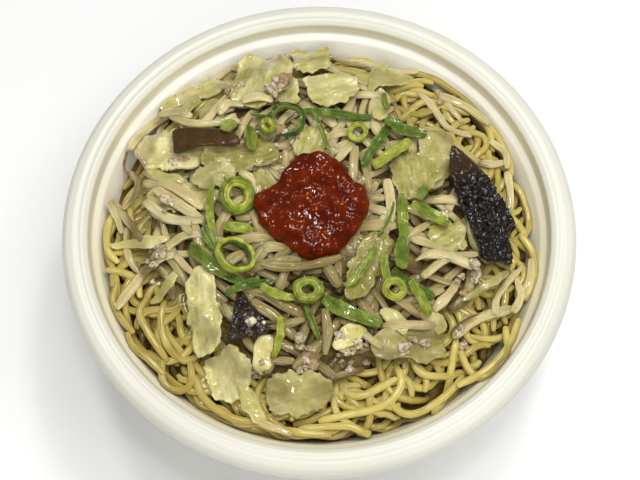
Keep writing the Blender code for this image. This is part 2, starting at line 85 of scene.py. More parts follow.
def shifted(field, reach):  # the field moved to every offset within a disc
    padded = np.pad(field, reach, mode="edge")
    for di in range(-reach, reach + 1):
        for dj in range(-reach, reach + 1):
            if di * di + dj * dj <= reach * reach:
                yield padded[reach + di:reach + di + gridSide, reach + dj:reach + dj + gridSide]


def widened(field, reach):
    return np.maximum.reduce(list(shifted(field, reach)))


def narrowed(field, reach):
    return np.minimum.reduce(list(shifted(field, reach)))


def blurred(field, reach):
    return np.mean(list(shifted(field, reach)), axis=0)


def cellsOf(path):
    cells = np.rint((path[:, :2] + grid["reach"]) / grid["cell"]).astype(int)
    return np.clip(cells[:, 0], 0, gridSide - 1), np.clip(cells[:, 1], 0, gridSide - 1)


def discCells(radius):  # cell offsets under a round strand, and how far its top stands over its middle
    reach = int(radius / grid["cell"])
    spots = [(i, j) for i in range(-reach, reach + 1) for j in range(-reach, reach + 1)
             if math.hypot(i, j) * grid["cell"] <= radius]
    rise = [math.sqrt(max(0, radius ** 2 - (math.hypot(i, j) * grid["cell"]) ** 2)) for i, j in spots]
    spots = np.array(spots)
    return spots[:, 0], spots[:, 1], np.array(rise)


def underStrand(path, radius):
    i, j = cellsOf(path)
    di, dj, rise = discCells(radius)
    rows = np.clip(i[:, None] + di, 0, gridSide - 1)
    columns = np.clip(j[:, None] + dj, 0, gridSide - 1)
    return rows, columns, rise


def restingHeights(path, radius, relief):  # height of a strand's middle where it just lies on the relief
    rows, columns, rise = underStrand(path, radius)
    return (relief[rows, columns] + rise).max(axis=1)


def stampStrand(path, radius, relief):
    rows, columns, rise = underStrand(path, radius)
    np.maximum.at(relief, (rows, columns), path[:, 2][:, None] + rise)


def smoothed(values, reach=2):
    padded = np.pad(values, reach, mode="edge")
    return np.convolve(padded, np.ones(2 * reach + 1) / (2 * reach + 1), mode="valid")


# materials

def asSeen(red, green, blue):  # a colour as the eye reads it, 0 to 255, in the shader's linear values
    scale = [channel / 255 for channel in (red, green, blue)]
    return (*[c / 12.92 if c <= 0.04045 else ((c + 0.055) / 1.055) ** 2.4 for c in scale], 1.0)


class Surface:  # one material; colours and bumps go on in the order of the calls, sizes in millimetres
    def __init__(self, name, roughness, coat=0.0, coatRoughness=0.1, shine=0.5, glow=(0, 1, (1, 0.8, 0.5))):
        self.material = bpy.data.materials.new(name)
        self.material.use_nodes = True
        self.shader = self.material.node_tree.nodes["Principled BSDF"]
        self.colour = self.lastBump = None
        share, depth, tint = glow  # light that passes through: how much, how deep, and its tint
        self.shader.inputs["Roughness"].default_value = roughness
        self.shader.inputs["Specular IOR Level"].default_value = shine
        self.shader.inputs["Coat Weight"].default_value = coat
        self.shader.inputs["Coat Roughness"].default_value = coatRoughness
        self.shader.inputs["Subsurface Weight"].default_value = share
        self.shader.inputs["Subsurface Radius"].default_value = tint
        self.shader.inputs["Subsurface Scale"].default_value = depth * mm

    def add(self, kind, **values):
        node = self.material.node_tree.nodes.new(kind)
        for key, value in values.items():
            setattr(node, key, value)
        return node

    def join(self, output, target):
        self.material.node_tree.links.new(output, target)

    def stretched(self, value, low, high):  # low to high becomes 0 to 1
        span = self.add("ShaderNodeMapRange")
        span.inputs["From Min"].default_value = low
        span.inputs["From Max"].default_value = high
        self.join(value, span.inputs["Value"])
        return span.outputs["Result"]

    def clouds(self, place, scale, detail):
        cloud = self.add("ShaderNodeTexNoise")
        cloud.inputs["Scale"].default_value = scale
        cloud.inputs["Detail"].default_value = detail
        self.join(place, cloud.inputs["Vector"])
        return cloud.outputs["Fac"]

    def patches(self, size, low=0.4, high=0.6, detail=3.0):  # soft patches, 0 to 1
        place = self.add("ShaderNodeTexCoord")
        return self.stretched(self.clouds(place.outputs["Object"], 1 / (size * mm), detail), low, high)

    def stored(self, name):  # a value that the mesh carries at each point
        return self.add("ShaderNodeAttribute", attribute_name=name).outputs["Fac"]

    def painted(self, name, low=0.0, high=1.0):
        return self.stretched(self.stored(name), low, high)

    def threads(self, across, along, low=0.42, high=0.6, apart=40):  # fine lines along a strand or leaf
        place = self.add("ShaderNodeCombineXYZ")
        for name, factor, socket in zip(("side", "run", "tone"), (across, along, apart), place.inputs):
            self.join(self.scaled(self.stored(name), factor), socket)
        return self.stretched(self.clouds(place.outputs["Vector"], 1.0, 2.0), low, high)

    def scaled(self, value, factor):
        product = self.add("ShaderNodeMath", operation="MULTIPLY")
        self.join(value, product.inputs[0])
        product.inputs[1].default_value = factor
        return product.outputs[0]

    def mixed(self, amount, first, second):  # two colours as seen, or colour outputs, mixed by a value
        mix = self.add("ShaderNodeMix", data_type="RGBA")
        self.join(amount, mix.inputs["Factor"])
        for socket, colour in ((mix.inputs[6], first), (mix.inputs[7], second)):
            if isinstance(colour, tuple):
                socket.default_value = asSeen(*colour)
            else:
                self.join(colour, socket)
        return mix.outputs[2]

    def base(self, amount, first, second):
        self.colour = self.mixed(amount, first, second)

    def tint(self, share, amount, colour):  # at most this share of a colour, where the amount is high
        self.colour = self.mixed(self.scaled(amount, share), self.colour, colour)

    def bump(self, height, depth):
        bump = self.add("ShaderNodeBump")
        bump.inputs["Strength"].default_value = 1.0
        bump.inputs["Distance"].default_value = depth * mm
        self.join(height, bump.inputs["Height"])
        if self.lastBump:
            self.join(self.lastBump.outputs["Normal"], bump.inputs["Normal"])
        self.lastBump = bump

    def done(self):
        self.join(self.colour, self.shader.inputs["Base Color"])
        if self.lastBump:
            self.join(self.lastBump.outputs["Normal"], self.shader.inputs["Normal"])
        return self.material


def shadedBed(name, first, second):  # what shows deep between the strands
    bed = Surface(name, 0.6, shine=0.2)
    bed.base(bed.patches(4, 0.35, 0.65), first, second)
    bed.bump(bed.patches(2.0, 0.3, 0.7, 2), 0.5)
    return bed.done()


bowlColours = {
    # the inside colour is painted warm light bounced from the food; the ledge colour is a painted highlight
    "shell": ((221, 219, 205), (216, 214, 199)), "inside": (230, 220, 184), "ledgeHighlight": (252, 250, 238),
}


def bowlPlastic():
    plastic = Surface("bowl plastic", 0.42, 0.25, 0.2, glow=(0.1, 1.5, (1, 0.8, 0.5)))
    plastic.base(plastic.patches(45, 0.3, 0.7, 1), *bowlColours["shell"])
    # painted warm bounce light from the food on the inner wall
    plastic.tint(1, plastic.painted("inner"), bowlColours["inside"])
    # painted highlight on the ledge and the wall under it, brightest at the back
    plastic.tint(1, plastic.painted("ledgeHighlight"), bowlColours["ledgeHighlight"])
    plastic.bump(plastic.patches(1.1, 0.2, 0.8, 2), 0.03)
    return plastic.done()


# the line colour is a painted sheen; the crease and gap colours are painted shade
noodleColours = {
    "dough": ((158, 137, 52), (204, 187, 98)), "stain": (146, 122, 46), "line": (222, 208, 140),
    "creaseShade": (126, 104, 36), "gap": (100, 80, 32), "bed": ((122, 100, 46), (84, 66, 28)),
}


def noodleDough():
    dough = Surface("noodle dough", 0.4, 0.9, 0.07, 0.15, (0.3, 1.5, (1, 0.85, 0.35)))
    dough.base(dough.painted("tone"), *noodleColours["dough"])
    dough.tint(0.5, dough.patches(7, 0.42, 0.7), noodleColours["stain"])
    # painted sheen: pale lines along each strand
    dough.tint(0.45, dough.threads(5, 5), noodleColours["line"])
    # painted shade in fine creases along each strand
    dough.tint(0.25, dough.threads(7, 6, 0.58, 0.68), noodleColours["creaseShade"])
    # painted shade, deepest between the strands
    dough.tint(0.85, dough.painted("gapShade"), noodleColours["gap"])
    dough.bump(dough.patches(0.7, 0.3, 0.7, 2), 0.05)
    return dough.done()


# the line and flank colours are painted light; the middle, crease and gap colours are painted shade
sproutColours = {
    "flesh": ((154, 134, 70), (236, 219, 160)), "stain": (158, 134, 70), "tan": (172, 138, 86),
    "line": (240, 230, 184), "middle": (150, 130, 74), "flankLight": (246, 238, 200), "end": (154, 124, 60),
    "creaseShade": (122, 100, 50), "darkened": (104, 88, 40), "gap": (92, 70, 30),
    "bed": ((134, 114, 66), (96, 78, 42)), "root": ((96, 72, 34), (150, 118, 60)),
}


def sproutFlesh():
    flesh = Surface("sprout flesh", 0.4, 1.0, 0.05, 0.15, (0.55, 3.0, (1, 0.85, 0.5)))
    flesh.base(flesh.painted("tone"), *sproutColours["flesh"])
    flesh.tint(0.45, flesh.patches(7, 0.45, 0.66), sproutColours["stain"])
    flesh.tint(0.4, flesh.patches(16, 0.54, 0.7, 1), sproutColours["tan"])
    # painted sheen: pale lines along each sprout
    flesh.tint(0.55, flesh.threads(7, 3), sproutColours["line"])
    # painted light through a half clear sprout: darker along its middle, paler at its flanks
    flesh.tint(0.4, flesh.painted("side", 0.8, 0.2), sproutColours["middle"])
    flesh.tint(0.35, flesh.painted("side", 0.75, 1.0), sproutColours["flankLight"])
    flesh.tint(0.6, flesh.painted("run", 0.93, 1.0), sproutColours["end"])
    # painted shade in fine creases along each sprout
    flesh.tint(0.25, flesh.threads(9, 4, 0.58, 0.68), sproutColours["creaseShade"])
    # darker and browner around a few places
    flesh.tint(0.7, flesh.painted("darkened"), sproutColours["darkened"])
    # painted shade between the sprouts
    flesh.tint(0.85, flesh.painted("gapShade"), sproutColours["gap"])
    flesh.bump(flesh.threads(7, 3, 0.3, 0.7), 0.15)
    return flesh.done()


def rootSkin():
    skin = Surface("root skin", 0.4, coat=0.4)
    skin.base(skin.patches(2), *sproutColours["root"])
    return skin.done()


# the vein colour also paints a highlight along leaf edges; the gap colour is painted shade
cabbageColours = {
    "rib": ((198, 184, 106), (230, 218, 156)), "leaf": ((176, 168, 82), (144, 144, 54)),
    "stain": (150, 132, 70), "line": (238, 228, 178), "veinsAndEdgeSheen": (240, 234, 190),
    "darkened": (120, 108, 42), "gap": (96, 80, 32),
}


def cabbageLeaf():
    leaf = Surface("cabbage leaf", 0.4, 1.0, 0.06, 0.15, (0.35, 2.5, (1, 0.9, 0.5)))
    rib = leaf.mixed(leaf.patches(7, 0.4, 0.62), *cabbageColours["rib"])
    green = leaf.mixed(leaf.patches(5, 0.38, 0.62), *cabbageColours["leaf"])
    leaf.base(leaf.painted("tone"), rib, green)
    leaf.tint(0.4, leaf.patches(6, 0.52, 0.66, 2), cabbageColours["stain"])
    leaf.tint(0.28, leaf.threads(0.9, 0.14, apart=0), cabbageColours["line"])
    # pale veins, and a painted highlight along the edges
    leaf.tint(0.3, leaf.painted("veinsAndEdgeSheen"), cabbageColours["veinsAndEdgeSheen"])
    # darker and browner in patches, more on some leaves
    leaf.tint(0.6, leaf.painted("darkened"), cabbageColours["darkened"])
    # painted shade where a leaf lies below what is near it
    leaf.tint(0.4, leaf.painted("gapShade"), cabbageColours["gap"])
    leaf.bump(leaf.threads(0.9, 0.14, 0.3, 0.7, apart=0), 0.07)
    leaf.bump(leaf.patches(1.4, 0.3, 0.7, 3), 0.12)
    return leaf.done()


woodEarColours = {
    "wet": ((18, 12, 6), (84, 58, 28)), "dull": ((50, 36, 18), (76, 56, 28)), "stain": (38, 26, 16),
}


def woodEarSkin(name, shades, roughness, coat, coatBend, grain):
    skin = Surface(name, roughness, coat, 0.03, 0.05)
    skin.shader.inputs["Coat IOR"].default_value = coatBend
    skin.base(skin.painted("tone"), *shades)
    skin.tint(0.35, skin.patches(3, 0.4, 0.65), woodEarColours["stain"])
    skin.bump(skin.patches(1.3, 0.35, 0.65, 1), grain)
    return skin.done()


scallionColours = {
    "green": ((20, 56, 6), (64, 96, 16)), "lime": ((134, 142, 34), (190, 190, 84)), "veinsAndEdgeSheen": (134, 156, 56),
}


def scallionLeaf():
    leaf = Surface("scallion leaf", 0.4, 1.0, 0.06, 0.15, (0.25, 1.2, (0.6, 1, 0.25)))
    green = leaf.mixed(leaf.patches(3, 0.35, 0.65), *scallionColours["green"])
    lime = leaf.mixed(leaf.patches(3, 0.35, 0.65), *scallionColours["lime"])
    leaf.base(leaf.painted("tone"), green, lime)
    leaf.tint(0.35, leaf.painted("veinsAndEdgeSheen"), scallionColours["veinsAndEdgeSheen"])
    leaf.bump(leaf.painted("veinsAndEdgeSheen"), 0.14)
    leaf.bump(leaf.patches(1.1, 0.3, 0.7, 2), 0.12)
    return leaf.done()


chiliColours = {
    "paste": ((76, 16, 0), (100, 28, 0)), "speck": (152, 70, 16), "rim": (150, 62, 18),
    "seed": ((122, 38, 12), (170, 98, 40)),
}


def chiliGloss():
    gloss = Surface("chili gloss", 0.5, 0.6, 0.02, 0.0, (0.08, 1.0, (1, 0.15, 0.03)))
    gloss.base(gloss.patches(6, 0.4, 0.62), *chiliColours["paste"])
    gloss.tint(1, gloss.patches(1.2, 0.62, 0.72), chiliColours["speck"])
    gloss.tint(0.6, gloss.painted("rim"), chiliColours["rim"])
    gloss.bump(gloss.patches(2.2, 0.35, 0.65, 1), 0.05)
    return gloss.done()


def seedSkin():
    skin = Surface("chili seed", 0.4, 1.0, 0.05, 0.1, (0.2, 0.8, (1, 0.4, 0.1)))
    skin.base(skin.patches(6, 0.42, 0.58, 1), *chiliColours["seed"])
    return skin.done()


porkColours = {"meat": ((174, 146, 104), (238, 228, 198)), "brown": (140, 106, 68)}


def porkMeat():
    meat = Surface("pork meat", 0.42, 0.6, 0.12, 0.2, (0.25, 1.5, (1, 0.7, 0.5)))
    meat.base(meat.painted("tone"), *porkColours["meat"])
    meat.tint(0.7, meat.patches(1.2, 0.48, 0.6), porkColours["brown"])
    meat.bump(meat.patches(0.6, 0.3, 0.7, 3), 0.4)
    return meat.done()


floorColours = ((251.6, 251.6, 250.5), (249.3, 249.3, 248.2))


def paleFloor():
    floor = Surface("pale floor", 0.9)
    floor.base(floor.patches(300, 0.3, 0.7, 1), *floorColours)
    return floor.done()


# making and placing pieces

def finish(name, mesh, material, replaced=()):
    mesh.materials.clear()
    mesh.materials.append(material)
    mesh.shade_smooth()
    piece = bpy.data.objects.new(name, mesh)
    scene.collection.objects.link(piece)
    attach(piece, "root")
    if replaced:
        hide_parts(*replaced)
    return piece


def paint(mesh, name, values):
    layer = mesh.attributes.new(name, "FLOAT", "POINT")
    layer.data.foreach_set("value", np.asarray(values, dtype=np.float32))


def paintGapShade(mesh, relief, start=1.2, full=4.2, share=1.0):  # painted shade, stronger the further points lie below what is near them
    top = blurred(widened(relief, 5), 4)
    points = meshPoints(mesh)
    paint(mesh, "gapShade", np.clip((top[cellsOf(points)] - points[:, 2] - start) / full, 0, 1) * share)


def turnedMesh(name, profile, steps):  # section in millimetres, first and last point on the axis
    angles = np.linspace(0, 2 * math.pi, steps, endpoint=False)
    inner = profile[1:-1]
    corners = [(r * math.cos(a) * mm, r * math.sin(a) * mm, z * mm) for r, z in inner for a in angles]
    corners += [(0, 0, profile[0][1] * mm), (0, 0, profile[-1][1] * mm)]
    faces = []
    for ring in range(len(inner) - 1):
        for k in range(steps):
            here, ahead = ring * steps + k, ring * steps + (k + 1) % steps
            faces.append((here, ahead, ahead + steps, here + steps))
    first, last = len(corners) - 2, len(corners) - 1
    end = (len(inner) - 1) * steps
    faces += [(first, (k + 1) % steps, k) for k in range(steps)]
    faces += [(last, end + k, end + (k + 1) % steps) for k in range(steps)]
    mesh = bpy.data.meshes.new(name)
    mesh.from_pydata(corners, [], faces)
    outward(mesh)
    return mesh


def outward(mesh):
    bm = bmesh.new()
    bm.from_mesh(mesh)
    bmesh.ops.recalc_face_normals(bm, faces=bm.faces)
    bm.to_mesh(mesh)
    bm.free()


class Strands:  # many round strands joined into one mesh
    def __init__(self):
        self.corners, self.faces = [], []
        self.values = {"tone": [], "run": [], "side": []}
        self.count = 0

    def add(self, path, radii, sides, tone, square=2.0, flat=1.0):
        path, radii = withRoundTips(path, radii)
        along = np.gradient(path, axis=0)
        along /= np.linalg.norm(along, axis=1)[:, None]
        side = np.cross(along, (0, 0, 1))
        side /= np.linalg.norm(side, axis=1)[:, None]
        up = np.cross(side, along)
        angles = np.linspace(0, 2 * math.pi, sides, endpoint=False)
        reach = (np.abs(np.cos(angles)) ** square + np.abs(np.sin(angles)) ** square) ** (-1 / square)
        across = (np.cos(angles) * reach)[None, :, None] * side[:, None, :]
        upward = (np.sin(angles) * reach)[None, :, None] * up[:, None, :] * flat
        rings = path[:, None, :] + (across + upward) * radii[:, None, None]
        start, turns = self.count, len(path)
        self.corners += [rings.reshape(-1, 3), path[[0, -1]]]
        here = start + np.arange(turns - 1)[:, None] * sides + np.arange(sides)[None, :]
        ahead = start + np.arange(turns - 1)[:, None] * sides + (np.arange(sides)[None, :] + 1) % sides
        self.faces += np.stack([here, ahead, ahead + sides, here + sides], axis=-1).reshape(-1, 4).tolist()
        last = start + (turns - 1) * sides
        for k in range(sides):
            ahead = (k + 1) % sides
            self.faces.append((start + turns * sides, start + ahead, start + k))
            self.faces.append((start + turns * sides + 1, last + k, last + ahead))
        self.values["tone"] += [tone] * (turns * sides + 2)
        self.values["run"] += np.repeat(np.linspace(0, 1, turns), sides).tolist() + [0, 1]
        self.values["side"] += np.tile(np.abs(np.cos(angles)), turns).tolist() + [0, 0]
        self.count += turns * sides + 2

    def mesh(self, name, lump=0.0, lumpSize=3.0):
        corners = np.concatenate(self.corners)
        if lump:
            corners += lump * np.stack([roughness(corners, lumpSize, seed, 2) for seed in (1, 2, 3)], axis=1)
        mesh = bpy.data.meshes.new(name)
        mesh.from_pydata((corners * mm).tolist(), [], self.faces)
        outward(mesh)
        for key, values in self.values.items():
            paint(mesh, key, values)
        return mesh


def withRoundTips(path, radii):  # two small rings more at each end
    radii = np.asarray(radii, dtype=float)
    step = np.linalg.norm(path[1] - path[0])
    tips = []
    for end, before in ((path[0], path[1]), (path[-1], path[-2])):
        away = (end - before) / step
        tips.append([end + away * radii[0] * reach for reach in (0.35, 0.5)])
    path = np.concatenate([tips[0][::-1], path, tips[1]])
    radii = np.concatenate([[radii[0] * 0.35, radii[0] * 0.75], radii, [radii[-1] * 0.75, radii[-1] * 0.35]])
    return path, radii


def roundedEnds(radii):  # the strand narrows a little at both ends
    radii = np.array(radii, dtype=float)
    radii[[1, -2]] *= 0.9
    radii[[0, -1]] *= 0.7
    return radii


def weldedMesh(name, source, levels):  # smooth fine copy of a node's solid
    bm = bmesh.new()
    bm.from_mesh(nodes[source].data)
    bmesh.ops.remove_doubles(bm, verts=bm.verts, dist=0.02 * mm)
    coarse = bpy.data.meshes.new(name)
    bm.verts.index_update()
    coarse.from_pydata([v.co[:] for v in bm.verts], [], [[v.index for v in f.verts] for f in bm.faces])
    bm.free()
    holder = bpy.data.objects.new(name, coarse)
    scene.collection.objects.link(holder)
    subdivide = holder.modifiers.new("Subdivision", "SUBSURF")
    subdivide.levels = subdivide.render_levels = levels
    subdivide.boundary_smooth = "ALL"
    fine = bpy.data.meshes.new_from_object(holder.evaluated_get(bpy.context.evaluated_depsgraph_get()))
    bpy.data.objects.remove(holder)
    fine.name = name
    return fine


def meshPoints(mesh):
    points = np.empty(len(mesh.vertices) * 3)
    mesh.vertices.foreach_get("co", points)
    return points.reshape(-1, 3) / mm


def shadeAt(points, shades):  # how much paler, or browner, the food is at each point
    total = np.zeros(len(points))
    for x, y, reach, change in shades:
        total += change * np.exp(-((points[:, 0] - x) ** 2 + (points[:, 1] - y) ** 2) / (2 * reach ** 2))
    return total


def meshNormals(mesh):
    normals = np.empty(len(mesh.vertices) * 3)
    mesh.vertex_normals.foreach_get("vector", normals)
    return normals.reshape(-1, 3)


def movePoints(mesh, points):
    mesh.vertices.foreach_set("co", (points * mm).ravel())
    mesh.update()


def laidOut(points):  # seen from above: offsets from the middle, how far along and across, both axes
    flat = (points - points.mean(axis=0))[:, :2]
    shortAxis, longAxis = np.linalg.eigh(np.cov(flat.T))[1].T
    return flat, flat @ longAxis, flat @ shortAxis, longAxis, shortAxis


def pushedOut(flat, push):  # sideways steps away from the middle
    return flat / np.maximum(np.hypot(*flat.T), 1)[:, None] * push[:, None]


def roughness(points, size, seed, octaves=3):  # fractal noise at each point, about -1 to 1
    shift = Vector((seed * 17.3, seed * 5.1, seed * 9.7))
    return np.array([noise.fractal(Vector(p) / size + shift, 1.0, 2.0, octaves) for p in points])


def bumpy(points, depthAndSize, seed, octaves=3):
    depth, size = depthAndSize
    return depth * roughness(points, size, seed, octaves)


def roundBall(divisions):  # corners and faces of a ball of radius 1
    bm = bmesh.new()
    bmesh.ops.create_icosphere(bm, subdivisions=divisions, radius=1)
    corners, faces = np.array([v.co for v in bm.verts]), [[v.index for v in f.verts] for f in bm.faces]
    bm.free()
    return corners, faces


# bowl

bowlSizes = {
    "rim": 95.0, "height": 70.0, "lip": 5.5, "crests": (90.3, 87.2), "mouth": 85.2, "wall": 1.9,
    "shoulder": ((84.4, 64.0), (82.2, 62.0)), "wallFoot": (58.5, 10.0), "floor": (48.0, 3.2),
    "foot": (47.0, 37.0), "recess": 1.2, "steps": 192, "fillet": 0.7, "floorFillet": 9.0,
}
bowlPaint = {  # how much of each colour the inside shows at some heights: painted warm bounce light on the inner wall, and a painted highlight on the ledge, brighter at the back
    "height": (0, 3, 52, 56, 62.2, 64.4, 65.2, 68, 69.2, 80),
    "inner": (0, 1, 1, 1, 0.6, 0.6, 0.9, 0.9, 0, 0),
    "ledgeHighlight": (0, 0, 0, 1, 1, 1, 0, 0, 0, 0),
    # the painted highlight's strength at the sides, and how much more it gains towards the back
    "aside": 0.15, "atBack": 0.9,
}


def bowlSection():  # up the inside from the middle of the floor, over the rim and down the outside
    b = bowlSizes
    top, lip, wall = b["height"], b["height"] - b["lip"], b["wall"]
    (upR, upZ), (lowR, lowZ) = b["shoulder"]
    return [
        (0, b["floor"][1]), b["floor"], (b["floor"][0] + 5.5, b["floor"][1] + 1.8), b["wallFoot"],
        (lowR, lowZ), (upR, upZ), (b["mouth"], top - 1.4), (b["crests"][1], top),
        (sum(b["crests"]) / 2, top - 0.5), (b["crests"][0], top), (b["rim"] - 2, top - 0.8),
        (b["rim"] - 0.4, top - 2.4), (b["rim"], lip), (b["rim"] - 1.6, lip),
        (b["rim"] - 2.6, top - wall - 1.4), (b["crests"][1] + 0.6, top - wall - 1.2),
        (upR + wall, upZ - 1.2), (lowR + wall, lowZ - 0.8),
        (b["wallFoot"][0] + wall, b["wallFoot"][1] - 1), (b["floor"][0] + 7.5, 2.6), (b["foot"][0] + 2, 0.8),
        (b["foot"][0], 0), (b["foot"][1], 0), (b["foot"][1] - 1.2, b["recess"]), (0, b["recess"]),
    ]


def filleted(section, fillets, steps=5):  # corners rounded off by a short curve, no longer than the fillet
    rounded = [section[0]]
    for before, corner, after in zip(section, section[1:], section[2:]):
        corner = Vector(corner)
        fillet = fillets.get((round(corner.x, 1), round(corner.y, 1)), bowlSizes["fillet"])
        ends = []
        for other in (Vector(before), Vector(after)):
            away = other - corner
            ends.append(corner + away.normalized() * min(fillet, away.length * 0.45))
        for k in range(steps + 1):
            t = k / steps
            point = ends[0] * (1 - t) ** 2 + corner * 2 * t * (1 - t) + ends[1] * t * t
            rounded.append((point.x, point.y))
    return rounded + [section[-1]]


def wallRadius(height):
    (footR, footZ), (topR, topZ) = bowlSizes["wallFoot"], bowlSizes["shoulder"][1]
    return footR + (topR - footR) * (height - footZ) / (topZ - footZ)


def makeBowl():
    section = filleted(bowlSection(), {bowlSizes["wallFoot"]: bowlSizes["floorFillet"]})
    mesh = turnedMesh("bowl", section, bowlSizes["steps"])
    points = meshPoints(mesh)
    reach, normals = np.hypot(points[:, 0], points[:, 1]), meshNormals(mesh)
    facingOut = (points[:, 0] * normals[:, 0] + points[:, 1] * normals[:, 1]) / np.maximum(reach, 1)
    inside = (reach < bowlSizes["mouth"] + 0.5) & (facingOut < 0.1) & (normals[:, 2] > 0)
    # painted highlight: the ledge is painted paler, far more at the back of the bowl than at the sides
    bright = bowlPaint["aside"] + bowlPaint["atBack"] * points[:, 1] / np.maximum(reach, 1)
    ledgeHighlight = np.clip(bright, 0, 1) * np.interp(points[:, 2], bowlPaint["height"], bowlPaint["ledgeHighlight"])
    # painted bounce light on the inner wall, graded by height
    paint(mesh, "inner", inside * np.interp(points[:, 2], bowlPaint["height"], bowlPaint["inner"]))
    paint(mesh, "ledgeHighlight", inside * ledgeHighlight)
    return finish("takeoutBowl", mesh, bowlPlastic(), ["bowl"])


makeBowl()
print("bowl turned")


# maps read from the model

moundTop = heightsOf(["bean_sprouts"])
moundUnder = heightsOf(["bean_sprouts"], fromAbove=False)
cabbageTop, cabbageUnder = heightsOf(cabbageNames), heightsOf(cabbageNames, fromAbove=False)
smallNames = woodEarNames + stripNames + ringNames + ["chili_paste"]
smallTop, smallUnder = heightsOf(smallNames), heightsOf(smallNames, fromAbove=False)
toppingUnder = np.minimum(cabbageUnder, smallUnder)
radiusMap = np.hypot(gridX, gridY)
bearingMap = np.degrees(np.arctan2(gridY, gridX)) % 360
print("height maps read")


# noodles

noodle = {
    "radius": 1.36, "uneven": 0.1, "count": 200, "length": (60, 140), "step": 1.8, "sides": 8,
    "square": 3.2, "flat": 0.86,  # how square the cut is, and its height for its width
    "curl": (0.1, 0.2), "wave": (20, 50), "ripple": (0.03, 19),  # bends, and their wavelengths
    "edge": 60.4, "crown": 4.6, "bedDepth": 6.0, "lid": 1.6, "sink": 0.45,  # heights of the heap and its bed
    "reach": (69.0, 80.4), "steer": (0.06, 0.5),  # where a strand starts to turn back, and how hard
    "bare": (158, 420),  # bearings, in degrees, between which noodles show by the wall
    "alongWall": 14, "wallLength": (26, 70),  # one in so many follows the wall
    "room": (79, 66), "tries": 30, "paths": 8,  # where strands may start, and ways tried for each
    # gap: depths at which the painted shade between strands begins and becomes full
    "tone": 0.7, "handTone": (0.5, 0.9), "handRadius": 1.05, "lump": (0.12, 4.0), "gap": (1.8, 5.0),
    "shades": ((-52, -48, 20, -1.1), (-76, 6, 16, 0.5), (60, -45, 16, 0.1)),  # place, reach and change
}
noodlesByHand = (  # points that the noodles on top pass through
    ((6, 72), (12, 75), (19, 76), (24, 72)), ((49, -44), (47, -54), (45, -63), (40, -71)),
    ((50, -47), (52, -53), (56, -58), (62, -56), (67, -49), (67, -39)),
    ((7, -61), (12, -65), (18, -64), (27, -59)),
    ((0, -74), (9, -72), (19, -70), (26, -66), (29, -60), (27, -53)),
    ((24, -67), (30, -71), (38, -69), (46, -63), (51, -57)),
    ((-7, -77), (4, -76), (11, -76), (17, -79)), ((-26, -67), (-24, -72), (-18, -76), (-7, -78), (4, -79)),
    ((-44, -58), (-41, -65), (-34, -71), (-26, -74), (-17, -72), (-12, -68)),
    ((-56, -30), (-57, -38), (-54, -47), (-48, -52), (-43, -50)),
    ((-63, -29), (-65, -34), (-61, -42), (-54, -52)),
    ((-56, -52), (-55, -60), (-49, -63), (-45, -60), (-46, -53)),
    ((-69, -41), (-67, -46), (-61, -51), (-55, -57)),
    ((-78, -17), (-73, -18), (-67, -21), (-65, -28)), ((-74, -23), (-75, -29), (-72, -35), (-67, -41)),
    ((63, 47), (70, 38), (73, 27), (71, 18)), ((50, 56), (57, 51), (65, 43), (67, 34)),
    ((75, -2), (79, -9), (79, -19), (75, -28)), ((-76, 9), (-79, 1), (-78, -9), (-74, -14)),
    ((49, -61), (60, -55), (68, -46), (72, -36)),
)


def noodleLevel(x, y):  # the heap's mean top: a low crown
    r = np.hypot(x, y) / wallRadius(noodle["edge"])
    return noodle["edge"] + noodle["crown"] * (1 - r * r)


def makeNoodleBed():
    edge = wallRadius(noodle["edge"] - noodle["bedDepth"]) - 0.8
    rings = [(r, noodleLevel(r, 0) - noodle["bedDepth"]) for r in np.linspace(0, edge, 12)]
    bottom = [(54, 6.0), (47, 4.2), (0, 4.2)]
    mesh = turnedMesh("noodleBed", rings + [(edge - 2, 48.0)] + bottom, 72)
    bed = shadedBed("noodle shade", *noodleColours["bed"])
    return finish("noodleBed", mesh, bed)


def curlyPath(start, draw):  # a strand that curls to and fro and turns back where it nears the wall
    step, length = noodle["step"], draw.uniform(*noodle["length"])
    s = np.arange(int(length / step)) * step
    curl, wave = draw.uniform(*noodle["curl"]), draw.uniform(*noodle["wave"])
    ripple, rippleLength = noodle["ripple"]
    turn = curl * np.sin(2 * math.pi * s / wave + draw.uniform(0, 6.3))
    turn += ripple * np.sin(2 * math.pi * s / rippleLength + draw.uniform(0, 6.3))
    heading, x, y = draw.uniform(0, 2 * math.pi), *start
    soft, most = noodle["reach"]
    path = []
    for bend in turn:
        reach = math.hypot(x, y)
        out = (x * math.cos(heading) + y * math.sin(heading)) / max(reach, 1)
        if reach > soft and out > -0.2:
            aside = x * math.sin(heading) - y * math.cos(heading)
            gentle, hard = noodle["steer"]
            bend = math.copysign(gentle + hard * (reach - soft) / (most - soft), aside)
        heading += bend * step
        x, y = x + math.cos(heading) * step, y + math.sin(heading) * step
        path.append((x, y))
    path = np.array(path)
    reach = np.hypot(*path.T)
    return path * (np.minimum(reach, most) / np.maximum(reach, 1))[:, None]


def laid(path, radius, relief, sink, lid=None, ceiling=None):  # the path with its heights, free of kinks
    height = smoothed(restingHeights(path, radius, relief) - sink, 2)
    i, j = cellsOf(path)
    if lid is not None:
        height = np.where(height > lid, lid + 0.35 * (height - lid), height)
    most, middle = 0.5 * np.linalg.norm(path[1] - path[0]), len(path) // 2  # steepest rise towards the ends
    for k in range(middle, len(path) - 1):
        height[k + 1] = min(height[k + 1], height[k] + most)
    for k in range(middle, 0, -1):
        height[k - 1] = min(height[k - 1], height[k] + most)
    for _ in range(4):
        if ceiling is not None:
            height = np.minimum(height, ceiling[i, j] - radius - 0.1)
        height = smoothed(height, 1)
    return np.column_stack([path, height])


